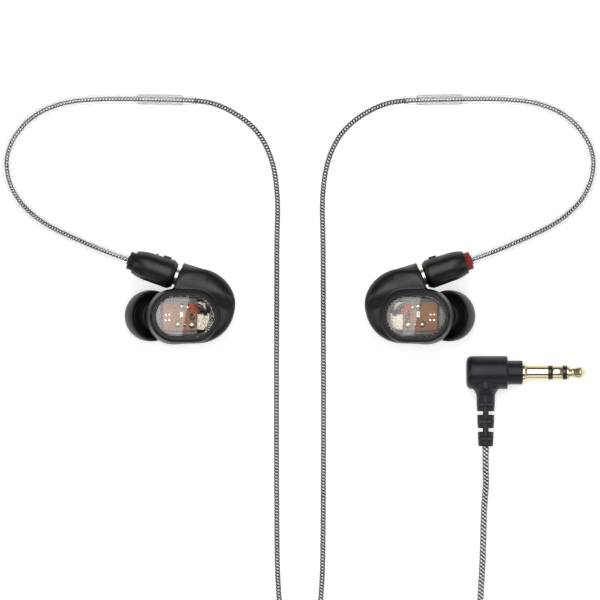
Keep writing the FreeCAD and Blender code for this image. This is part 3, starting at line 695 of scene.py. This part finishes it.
def pair_of(name, points, faces, material, body="earpiece", replaces=(), flats=True):
    """A piece for the left ear, and its mirror image for the right."""
    for side in ("left", "right"):
        left = side == "left"
        single(f"{name}_{side}", points if left else mirrored(points),
               faces if left else [f[::-1] for f in faces], material,
               body if body == "cable_harness" else f"{body}_{side}",
               [f"{node}_{side}" for node in replaces], flats)


shell_black = moulded("shell_black", (0.005, 0.005, 0.0055), 0.34, 7000.0, 0.16, 0.006,
                      Specular_IOR_Level=0.42)
SHELL_STEP = 0.17
for half, front in (("front", True), ("back", False)):
    low, high = (-38.2, -12.3, 10.2 if front else 4.6), (-14.6, 9.6, 18.4 if front else 13.4)
    points, faces = field_skin(lambda at, f=front: shell_field(at, f), low, high, SHELL_STEP)
    pair_of(f"shell_{half}_moulding", points, faces.tolist(), shell_black, "earpiece",
            [f"shell_{half}"], flats=False)


# ---- windows -----------------------------------------------------------------------------------
# A clear cast pane in a gloss black bezel that is bonded into the well of the front shell.
pane_clear = clear_finish("clear_pane", (0.97, 0.96, 0.95), 0.0, 1.49, 0.002, 200.0)
dress(pane_clear, *both("window"))
bezel_gloss = moulded("bezel_gloss", (0.003, 0.003, 0.0035), 0.22, 5000.0, 0.04, 0.004,
                      Specular_IOR_Level=0.4)
dress(bezel_gloss, *both("window_bezel"))


VEIL_HEIGHT, PANE_HEIGHT = 0.60, 0.017
VEIL_WIDTH, VEIL_LEAN = 0.30, math.radians(11.5)
for side, hand, across_pane in (("left", 1.0, -0.0276), ("right", -1.0, 0.0282)):
    # The middle of the box's right-hand edge, where the tilted pane mirrors it to the camera.
    slope = hand * 2 * SHELL_TILT + math.atan(across_pane / CAMERA_HEIGHT)
    edge = across_pane + math.tan(slope) * (VEIL_HEIGHT - PANE_HEIGHT)
    x = edge - VEIL_WIDTH / 2 * math.cos(VEIL_LEAN)
    y = -0.0057 + VEIL_WIDTH / 2 * math.sin(VEIL_LEAN)
    lamp = softbox(f"box_for_{side}_pane", (x, y, VEIL_HEIGHT), (x, y, 0.0), VEIL_WIDTH, 0.5, 1.2,
                   -math.degrees(VEIL_LEAN))
    lamp.data.color = (0.94, 0.95, 0.95)
    group = bpy.data.collections.new(f"{side}_pane")
    group.objects.link(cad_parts[f"window_{side}"])
    lamp.light_linking.receiver_collection = group


# ---- board in each window ----------------------------------------------------------------------
# The crossover board: brown varnished laminate under the pane, with tinned pads, a white
# ceramic capacitor and domes of solder where the drivers' wires are joined.
def octant_block(centre, half, radius, steps=4):
    """A box with rounded edges: a ball whose eight octants are pulled apart.  A direction d on
    the ball gives the point c + (h - r) sign(d) + r d; each octant's edge angles are repeated,
    so that the quads between octants are the flat faces."""
    quarter = np.linspace(0.001, math.pi / 2 - 0.001, steps)
    round_about = np.concatenate([quarter + k * math.pi / 2 for k in range(4)])
    up_down = np.concatenate([-quarter[::-1], quarter])
    a, b = np.meshgrid(round_about, up_down, indexing="xy")
    way = np.stack([np.cos(a) * np.cos(b), np.sin(a) * np.cos(b), np.sin(b)], axis=-1)
    points = np.asarray(centre) + (np.asarray(half) - radius) * np.sign(way) + radius * way
    rows, columns = points.shape[:2]
    points = points.reshape(-1, 3)
    faces = grid_faces(rows, columns)
    low, high = points[:columns].mean(axis=0), points[-columns:].mean(axis=0)
    ring, after = np.arange(columns), (np.arange(columns) + 1) % columns
    pole, top = np.full(columns, len(points)), (rows - 1) * columns
    under = np.stack([after, ring, pole], axis=1)
    over = np.stack([top + ring, top + after, pole + 1], axis=1)
    return np.concatenate([points, [low, high]]), faces, under, over


def joined(*solids):
    """Several solids, each its points and its lists of faces, as one list of each."""
    points, faces, count = [], [], 0
    for solid in solids:
        points.append(solid[0])
        for part in solid[1:]:
            faces += [tuple(f) for f in (np.asarray(part) + count).tolist()]
        count += len(solid[0])
    return np.concatenate(points), faces


def from_face(points):
    """Points measured from the window's centre in the shell's tilted frame, as table points."""
    return SHELL_CENTRE + (np.asarray(points) + (WINDOW_X, 0, 0)) @ TURN.T


def carrier_field(at):
    """Less than zero inside the board's carrier: an oval plate cut straight on one side, with a
    groove round the board's place."""
    x, y, z = at[:, 0], at[:, 1], at[:, 2]
    plate = blend_meet(oval(x, y, 4.42), np.abs(z - 1.48) - 0.40, 0.25)
    plate = blend_meet(plate, x - 3.55, 0.3)
    frame_line = np.maximum(np.abs(x + 0.85) - 4.45, np.abs(y + 0.05) - 3.72)
    groove = np.maximum(np.abs(frame_line) - 0.11, 1.62 - z)
    return blend_meet(plate, -groove, 0.08)


carrier_pale = moulded("carrier_pale", (0.185, 0.18, 0.17), 0.28, 5000.0, 0.1, 0.0, Subsurface_Weight=0.25,
                       Subsurface_Scale=0.001)
points, faces = field_skin(carrier_field, (-7.2, -5.0, 0.6), (4.2, 5.0, 2.3), 0.14)
pair_of("board_carrier", from_face(points), faces.tolist(), carrier_pale)
bead_clear = moulded("bead_clear", (0.20, 0.20, 0.195), 0.22, 4000.0, 0.15, 0.0)


def bead_field(at):
    """Less than zero inside the bead that bonds the pane to its seat, an oval half-round."""
    over = at[:, 2] - SEAT_Z + 0.02
    return np.maximum(np.hypot(oval(at[:, 0], at[:, 1], 4.72), over * 1.6) - 0.27, over)


points, faces = field_skin(bead_field, (-7.6, -5.4, 3.2), (7.6, 5.4, 3.9), 0.11)
pair_of("window_bead", from_face(points), faces.tolist(), bead_clear)
BOARD_LOW, BOARD_HIGH = np.array((-5.0, -3.4, 1.9)), np.array((3.2, 3.3, 2.5))
BOARD_TOP = BOARD_HIGH[2]
laminate, tree, shader = finish("board_laminate", (0.17, 0.060, 0.007), 0.3,
                                Coat_Weight=0.5, Coat_Roughness=0.12)
cloth = add(tree, "TexBrick", offset=0.5, Scale=5200.0, Mortar_Size=0.03, Brick_Width=1.0, Row_Height=1.0,
            Color1=(0.215, 0.070, 0.004, 1.0), Color2=(0.19, 0.061, 0.0035, 1.0),
            Mortar=(0.19, 0.058, 0.004, 1.0))
track = add(tree, "TexBrick", offset=0.35, Scale=560.0, Mortar_Size=0.045, Mortar_Smooth=0.4,
            Brick_Width=1.7, Row_Height=0.8)
copper = add(tree, "Mix", data_type="RGBA", B=(0.15, 0.045, 0.004, 1.0))
raise_it = add(tree, "Bump", Strength=0.3, Distance=0.00004)
where = add(tree, "TexCoord")
join(tree, (where, "Object", cloth, "Vector"), (where, "Object", track, "Vector"),
     (track, "Fac", copper, "Factor"), (cloth, "Color", copper, "A"),
     (copper, "Result", shader, "Base Color"), (track, "Fac", raise_it, "Height"),
     (raise_it, "Normal", shader, "Normal"))
points, faces = joined(octant_block((BOARD_LOW + BOARD_HIGH) / 2, (BOARD_HIGH - BOARD_LOW) / 2, 0.12))
pair_of("crossover_board_laminate", from_face(points), faces, laminate, replaces=["crossover_board"])


def metal(name, colour, roughness, scale, depth, **values):
    """Plated or tinned metal with a fine uneven skin and slight tarnish in its colour."""
    made, tree, shader = finish(name, colour, roughness, 1.0, **values)
    where = add(tree, "TexCoord")
    skin, stain = add(tree, "TexNoise", Scale=scale, Detail=4.0), add(tree, "TexNoise", Scale=scale / 9)
    bump = add(tree, "Bump", Strength=depth, Distance=0.00003)
    dull = add(tree, "Mix", data_type="RGBA", A=(*colour, 1.0), B=(*[0.72 * c for c in colour], 1.0))
    gloss = add(tree, "MapRange", To_Min=roughness * 0.75, To_Max=roughness * 1.35)
    join(tree, (where, "Object", skin, "Vector"), (where, "Object", stain, "Vector"),
         (skin, "Fac", bump, "Height"), (stain, "Fac", dull, "Factor"), (skin, "Fac", gloss, "Value"),
         (dull, "Result", shader, "Base Color"), (gloss, "Result", shader, "Roughness"),
         (bump, "Normal", shader, "Normal"))
    return made


def dome(x, y, radius, height, base, wave, phase):
    """A drop of solder: radius r (1 + w sin(3 a + phase)) cos b and height h sin b over a quarter
    turn of b, with a small foot spread out by (1 - sin b)^4."""
    rows, columns = 8, 24
    a = np.arange(columns) * 2 * math.pi / columns
    b = np.linspace(0, math.pi / 2 - 0.04, rows)
    out = radius * (np.cos(b) + 0.18 * (1 - np.sin(b)) ** 4)[:, None] * (1 + wave * np.sin(3 * a + phase))
    points = np.stack([x + out * np.cos(a), y + out * np.sin(a),
                       np.broadcast_to(base + height * np.sin(b)[:, None], out.shape)], axis=-1)
    return (points.reshape(-1, 3), grid_faces(rows, columns), *end_caps(rows, columns))


solder = metal("tinned_solder", (0.78, 0.74, 0.66), 0.22, 3000.0, 0.5)
SOLDER_AT = [(-0.36, 2.42, 0.62), (1.14, 2.2, 0.60), (-1.33, -1.91, 0.66), (0.39, -1.91, 0.42),
             (2.13, -2.0, 0.72)]
drops = [dome(x, y, r, 0.42, BOARD_TOP, 0.06, 1.7 * k) for k, (x, y, r) in enumerate(SOLDER_AT)]
pads = [octant_block((x, y, BOARD_TOP + 0.06), (0.26, 0.24, 0.08), 0.06)
        for x in (-4.25, -3.33) for y in (0.41, -0.91)]
ends = [octant_block((-0.45, y, BOARD_TOP + 0.27), (0.42, 0.17, 0.27), 0.08) for y in (-0.05, 0.98)]
points, faces = joined(*drops, *pads, *ends)
pair_of("solder_and_pads", from_face(points), faces, solder, replaces=["board_parts"])
ceramic = moulded("ceramic_white", (0.72, 0.70, 0.64), 0.35, 6000.0, 0.1, 0.0)
points, faces = joined(octant_block((-0.45, 0.46, BOARD_TOP + 0.25), (0.36, 0.40, 0.24), 0.05))
pair_of("ceramic_capacitor", from_face(points), faces, ceramic)


# ---- drivers and wires -------------------------------------------------------------------------
# Three balanced-armature drivers, drawn steel cans in a pale nickel finish, set under the board;
# lacquered wires, red and black, go from the solder over the board's edge to their terminals.
can_steel = metal("can_steel", (0.40, 0.37, 0.31), 0.26, 2500.0, 0.35)
DRIVERS = {"low_driver": ((-1.4, -3.5, -3.4), (8.6, 4.5, 4.4)),
           "mid_driver": ((-1.4, 1.2, -3.2), (7.0, 2.6, 4.0)),
           "high_driver": ((-4.8, 1.95, -1.9), (3.2, 2.3, 2.3))}
for name, (corner, size) in DRIVERS.items():
    corner, size = np.array(corner), np.array(size)
    body = octant_block(corner + size / 2, size / 2 - (0.02, 0.02, 0.05), 0.38, 6)
    lid = octant_block(corner + size / 2 + (0, 0, size[2] * 0.18),
                       size / 2 - (0.0, 0.0, size[2] * 0.42), 0.25, 5)
    points, faces = joined(body, lid)
    pair_of(f"{name}_can", SHELL_CENTRE + points @ TURN.T, faces, can_steel, replaces=[name])
manifold_cream = moulded("manifold_cream", (0.55, 0.47, 0.36), 0.45, 4000.0, 0.2, 0.0)
dress(manifold_cream, *both("sound_manifold"))
wire_red = moulded("wire_red", (0.42, 0.035, 0.015), 0.25, 6000.0, 0.1, 0.0, Coat_Weight=0.6)
wire_black = moulded("wire_black", (0.012, 0.010, 0.009), 0.25, 6000.0, 0.1, 0.0, Coat_Weight=0.6)
WIRE_R, WIRE_SIDES = 0.20, 10
RED_WIRES = [[(1.14, 2.2, 2.75), (1.6, 2.9, 3.1), (2.3, 3.1, 3.1), (3.0, 2.7, 2.9), (3.7, 2.0, 2.0),
              (4.2, 1.6, 1.2)],
             [(1.4, 1.2, 2.7), (1.9, 1.6, 3.0), (2.2, 1.1, 3.1), (2.6, 0.5, 2.9), (2.3, -0.1, 2.7)],
             [(1.5, 2.6, 2.8), (2.1, 2.3, 3.1), (2.6, 2.4, 3.0), (3.1, 1.7, 2.9), (4.0, 0.9, 1.9),
              (4.5, 0.6, 1.2)]]
BLACK_WIRES = [[(2.9, 3.1, 2.8), (3.6, 3.0, 2.9), (4.6, 2.3, 2.8), (5.5, 1.0, 2.2), (5.9, 0.3, 1.4)],
               [(2.7, 2.6, 2.7), (3.5, 2.5, 2.9), (4.3, 1.8, 2.7), (5.1, 0.9, 2.0), (5.4, 0.2, 1.3)],
               [(1.9, 0.7, 2.6), (1.7, 0.1, 2.9), (1.9, -0.7, 2.9), (2.5, -0.6, 2.9), (2.6, 0.1, 2.8),
                (2.2, 0.5, 2.7)]]


def wire_solids(routes):
    """Wires as one list of points and faces, each a round section along its own spline."""
    solids = []
    for route in routes:
        line = route_line(route, 0.12)
        points = rings_along(line, WIRE_R, WIRE_SIDES) / MM
        solids.append((points.reshape(-1, 3), grid_faces(len(line), WIRE_SIDES),
                       *end_caps(len(line), WIRE_SIDES)))
    return joined(*solids)


for name, routes, lacquer in (("red_wires", RED_WIRES, wire_red), ("black_wires", BLACK_WIRES, wire_black)):
    points, faces = wire_solids(routes)
    pair_of(name, from_face(points), faces, lacquer)


# ---- nozzles and ear tips ----------------------------------------------------------------------
# A gold-plated nozzle with a fine steel screen, and over it a soft silicone tip: an open dome
# whose skirt is half a millimetre thick, on a stem that grips the nozzle.
def corners_cut(profile, radii, steps=5):
    """A profile with its corners rounded: at each corner P a quadratic arc runs between the
    points at the given distance back and ahead, (1-t)^2 A + 2 t (1-t) P + t^2 B."""
    profile = np.asarray(profile, float)
    t = np.linspace(0, 1, steps)[:, None]
    made = [profile[:1]]
    for k in range(1, len(profile) - 1):
        back, ahead = profile[k - 1] - profile[k], profile[k + 1] - profile[k]
        a = profile[k] + back / np.linalg.norm(back) * min(radii[k], 0.45 * np.linalg.norm(back))
        b = profile[k] + ahead / np.linalg.norm(ahead) * min(radii[k], 0.45 * np.linalg.norm(ahead))
        made.append((1 - t) ** 2 * a + 2 * t * (1 - t) * profile[k] + t ** 2 * b)
    return np.concatenate(made + [profile[-1:]])


def turned(profile, origin, axis, sides=96, ribs=0, rib_depth=0.0, closed=False):
    """A profile of (radius, height) carried round an axis.  Ribs cut the radius by
    d (1 - |cos(n a / 2)|) round the piece.  An open profile starts and ends on the axis."""
    profile = np.asarray(profile, float)
    axis = np.asarray(axis, float) / np.linalg.norm(axis)
    across = np.cross(axis, (0.0, 1.0, 0.0) if abs(axis[1]) < 0.9 else (1.0, 0.0, 0.0))
    across /= np.linalg.norm(across)
    other = np.cross(axis, across)
    angle = np.arange(sides) * 2 * math.pi / sides
    cut = rib_depth * (1 - np.abs(np.cos(ribs * angle / 2)))
    ribbed = profile[:, 0:1] > 0.6 * profile[:, 0].max()
    radius = np.maximum(profile[:, 0:1], 1e-4) - np.where(ribbed, cut, 0)
    ring = across * np.cos(angle)[:, None] + other * np.sin(angle)[:, None]
    points = np.asarray(origin) + axis * profile[:, 1, None, None] + radius[..., None] * ring
    rows = len(profile)
    faces = grid_faces(rows, sides, closed)
    return (points.reshape(-1, 3), faces, *(() if closed else end_caps(rows, sides)))


TIP_R, TIP_NOSE, TIP_RIM, STEM_R, TIP_BORE = 6.2, 5.9, -1.4, 3.25, 2.5
silicone = moulded("tip_silicone", (0.009, 0.009, 0.0095), 0.46, 2600.0, 0.2, 0.02,
                   Sheen_Weight=0.06, Sheen_Roughness=0.4, Specular_IOR_Level=0.40)


def arc_through(start, middle, end, steps):
    """Points of the circle through three points, from the first to the last."""
    (ax, ay), (bx, by), (cx, cy) = start, middle, end
    d = 2 * (ax * (by - cy) + bx * (cy - ay) + cx * (ay - by))
    one, two, three = ax * ax + ay * ay, bx * bx + by * by, cx * cx + cy * cy
    ux = (one * (by - cy) + two * (cy - ay) + three * (ay - by)) / d
    uy = (one * (cx - bx) + two * (ax - cx) + three * (bx - ax)) / d
    a, m, b = (math.atan2(y - uy, x - ux) for x, y in (start, middle, end))
    span = (b - a) % (2 * math.pi)
    if (m - a) % (2 * math.pi) > span:
        span -= 2 * math.pi
    turn = a + span * np.linspace(0, 1, steps)
    radius = math.hypot(ax - ux, ay - uy)
    return np.stack([ux + radius * np.cos(turn), uy + radius * np.sin(turn)], axis=1)


skirt_out = arc_through((TIP_R - 0.12, TIP_RIM), (TIP_R, 0.0), (TIP_R * 0.955, 1.9), 14)
crown = arc_through((TIP_R * 0.955, 1.9), (TIP_R * 0.72, 4.4), (2.65, TIP_NOSE), 24)[1:]
mouth = np.array(((2.35, TIP_NOSE + 0.05), (2.05, TIP_NOSE - 0.05), (1.9, TIP_NOSE - 0.3), (1.9, 3.7),
                  (TIP_BORE, 3.7), (TIP_BORE, -2.15), (TIP_BORE + 0.08, -2.2), (STEM_R - 0.1, -2.2),
                  (STEM_R, -2.1), (STEM_R, 1.6)))
inside = arc_through((STEM_R + 0.15, 1.9), (4.7, 1.15), (TIP_R - 0.75, TIP_RIM + 0.05), 20)
rim = np.array(((TIP_R - 0.62, TIP_RIM - 0.1), (TIP_R - 0.35, TIP_RIM - 0.14),
                (TIP_R - 0.18, TIP_RIM - 0.08)))
profile = np.concatenate([skirt_out, crown, mouth, inside, rim])
points, faces = turned(profile, TIP_CENTRE, NOSE, 128, closed=True)
pair_of("ear_tip_silicone", points, faces[:, ::-1].tolist(), silicone, "ear_tip",
        ["ear_tip"], flats=False)
gold = metal("plated_gold", (0.84, 0.72, 0.44), 0.16, 2200.0, 0.05)
dress(gold, *both("nozzle"))
screen, tree, shader = finish("steel_screen", (0.5, 0.5, 0.5), 0.35, 1.0)
# Painted shade: the screen's holes are near black, for the dark bore seen through them; the wires are the
# steel's own grey.
mesh_holes = add(tree, "TexVoronoi", Scale=4200.0, Randomness=0.0)
hole = add(tree, "MapRange", From_Min=0.28, From_Max=0.36)
wire_tone = add(tree, "Mix", data_type="RGBA", A=(0.01, 0.01, 0.01, 1.0), B=(0.62, 0.61, 0.60, 1.0))
join(tree, (add(tree, "TexCoord"), "Object", mesh_holes, "Vector"), (mesh_holes, "Distance", hole, "Value"),
     (hole, "Result", wire_tone, "Factor"), (wire_tone, "Result", shader, "Base Color"))
dress(screen, *both("nozzle_screen"))


# ---- detachable connectors ---------------------------------------------------------------------
# Each cord ends in a moulded barrel that pushes into the shell's horn, with a low locating tab
# on one side.  Its strain relief is a short ribbed collar, black on the left, red on the right.
plug_gloss = moulded("insulator_black", (0.010, 0.010, 0.011), 0.18, 7000.0, 0.06)
barrel_black = moulded("barrel_black", (0.005, 0.005, 0.0055), 0.34, 7500.0, 0.18, 0.006,
                       Specular_IOR_Level=0.42)
collar_black = moulded("collar_black", (0.006, 0.006, 0.0065), 0.42, 6000.0, 0.2, 0.006,
                       Specular_IOR_Level=0.35)
collar_red = moulded("collar_red", (0.30, 0.020, 0.018), 0.34, 6000.0, 0.15, 0.0,
                     Specular_IOR_Level=0.35)
dress(plug_gloss, *both("socket_insulator"))
dress(barrel_black, *both("socket_shell"))
dress(gold, *both("socket_contact"), *both("contact_pin"), *both("snap_ring"))
sleeve_gold = metal("sleeve_gold", (0.92, 0.86, 0.70), 0.24, 2000.0, 0.05)
dress(sleeve_gold, *both("contact_sleeve"))
swell = arc_through((3.42, 7.0), (3.22, 9.6), (2.75, 11.25), 18)
up_wall = np.linspace(2.4, 6.6, 6)
side_wall = np.stack([3.55 - 0.13 * (up_wall - 2.1) / 4.9, up_wall], axis=1)
profile = corners_cut([(0.0, 1.0), (2.8, 1.0), (3.05, 1.25), (3.55, 2.1), *side_wall, *swell,
                       (2.66, 11.4), (0.0, 11.4)],
                      [0, 0.12, 0.12, 0.35, *([0.1] * 24), 0.08, 0], 5)
points, faces = joined(turned(profile, MOUTH, OUT, 96))
pair_of("connector_barrel", points, faces, barrel_black, "cable_harness", ["connector_barrel"])
LOCAL = np.stack([ACROSS, OUT, UP], axis=0)
tab = octant_block((3.45, 4.05, 0.0), (0.45, 0.95, 0.75), 0.22, 5)
points, faces = joined((MOUTH + tab[0] @ LOCAL, *tab[1:]))
pair_of("locating_tab", points, faces, barrel_black, "cable_harness")
bump = octant_block((3.36, 6.6, 0.0), (0.34, 0.34, 0.34), 0.33, 6)
points, faces = joined((MOUTH + bump[0] @ LOCAL, *bump[1:]))
single("hand_mark_left", points, faces, barrel_black)
ribs = [(0.0, 11.4), (2.12, 11.4)]
for k in range(4):
    start = 11.44 + 0.33 * k
    ribs += [(2.12, start), (2.21, start + 0.05), (2.21, start + 0.20), (2.12, start + 0.26)]
ribs += [(2.02, 12.74), (1.8, 12.8), (0.0, 12.8)]
points, faces = joined(turned(np.array(ribs), MOUTH, OUT, 96, 24, 0.07))
single("relief_collar_left", points, faces, collar_black, "cable_harness",
       ["connector_collar_left"])
single("relief_collar_right", mirrored(points), [f[::-1] for f in faces], collar_red,
       "cable_harness", ["connector_collar_right"])


# ---- plug --------------------------------------------------------------------------------------
# A right-angled 3.5 mm three-contact plug in navy-black satin rubber: a drum with a stepped nose
# for the jack, and a tapering strain relief cut by slots from alternate sides.
PLUG_AT = np.array((44.8, -18.3, 4.0))
EAST = np.array((1.0, 0.0, 0.0))
RELIEF_SLOTS, SLOT_HALF, WEB_HALF = 7.72 + 2.04 * np.arange(5), 0.425, 0.70
RELIEF_R, RELIEF_END, ROOT_END, ROOT_FLARE = 2.26, 17.8, 5.7, 1.04
navy = moulded("plug_rubber", (0.0062, 0.0078, 0.0150), 0.38, 6500.0, 0.2, 0.004, Specular_IOR_Level=0.36)


def relief_field(at):
    """Less than zero inside the strain relief: a taper round -Y whose root is flared, with five
    slots that reach in from the flat sides and the edges by turns and leave a web."""
    local = at - PLUG_AT
    along = -local[:, 1]
    radius = np.hypot(local[:, 0], local[:, 2])
    wall = RELIEF_R + np.where(along < ROOT_END, ROOT_FLARE * np.clip((ROOT_END - along) / 1.85, 0, 1) ** 1.8,
                               -0.46 * (along - ROOT_END) / 12.1)
    over = np.maximum(along - RELIEF_END, 2.0 - along)
    solid = blend_meet(radius - wall, over, 0.35)
    for k, middle in enumerate(RELIEF_SLOTS):
        depth = np.abs(local[:, 2] if k % 2 == 0 else local[:, 0])
        slot = np.maximum(np.abs(along - middle) - SLOT_HALF, WEB_HALF - depth)
        solid = blend_meet(solid, -slot, 0.14)
    return solid


profile = corners_cut([(0.0, -4.7), (4.0, -4.7), (4.0, 5.3), (2.9, 5.3), (2.9, 8.9), (0.0, 8.9)],
                      [0, 1.6, 0.45, 0.18, 0.4, 0], 9)
points, faces = joined(turned(profile, PLUG_AT, EAST, 128))
plug_pieces = [single("plug_drum", points, faces, navy,
                      replaces=["plug_body", "plug_collar"])]
points, faces = field_skin(relief_field, PLUG_AT + (-3.6, -18.2, -3.6), PLUG_AT + (3.6, -1.6, 3.6),
                           0.10)
plug_pieces.append(single("plug_relief_ribs", points, faces, navy, replaces=["strain_relief"]))


def jack_ring(low, high, chamfer=0.06, radius=1.75):
    """The profile of one straight section of the jack."""
    return corners_cut([(0.0, low), (radius, low), (radius, high), (0.0, high)], [0, chamfer, chamfer, 0], 3)


jack_gold = metal("jack_gold", (0.83, 0.75, 0.50), 0.14, 1800.0, 0.03)
tip_profile = corners_cut([(0.0, 19.61), (1.75, 19.61), (1.75, 19.96), (1.2, 20.76), (1.25, 21.21),
                           (1.7, 22.82), (1.5, 23.12), (0.75, 23.85), (0.35, 24.17), (0.0, 24.17)],
                          [0, 0.05, 0.12, 0.25, 0.25, 0.2, 0.2, 0.2, 0.1, 0], 6)
sleeve_profile = corners_cut([(0.0, 8.88), (2.25, 8.88), (2.25, 9.55), (2.0, 9.72), (2.0, 10.0),
                              (1.75, 10.0), (1.75, 15.05), (0.0, 15.05)],
                             [0, 0.05, 0.12, 0.05, 0.05, 0.03, 0.06, 0], 3)
for name, profile in (("jack_sleeve", sleeve_profile), ("jack_ring", jack_ring(16.13, 18.53)),
                      ("jack_tip", tip_profile)):
    points, faces = joined(turned(profile, PLUG_AT, EAST, 96))
    plug_pieces.append(single(f"{name}_turned", points, faces, jack_gold, replaces=[name]))
points, faces = joined(turned(jack_ring(15.05, 16.13, 0.05, 1.72), PLUG_AT, EAST, 96),
                       turned(jack_ring(18.53, 19.61, 0.05, 1.72), PLUG_AT, EAST, 96))
plug_pieces.append(single("jack_insulator_rings", points, faces, plug_gloss,
                          replaces=["jack_insulators"]))


# ---- pieces carried by each branch -------------------------------------------------------------
# Both branches go into the splitter.  The pieces that travel with each branch are listed: the hook,
# the shrunk sleeve and the braid, and with the left one the splitter and the slider.
for side in ("left", "right"):
    carried = [*hooks[side], branch_cores[side]]
    if side == "left":
        carried += [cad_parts["splitter"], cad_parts["chin_slider"]]
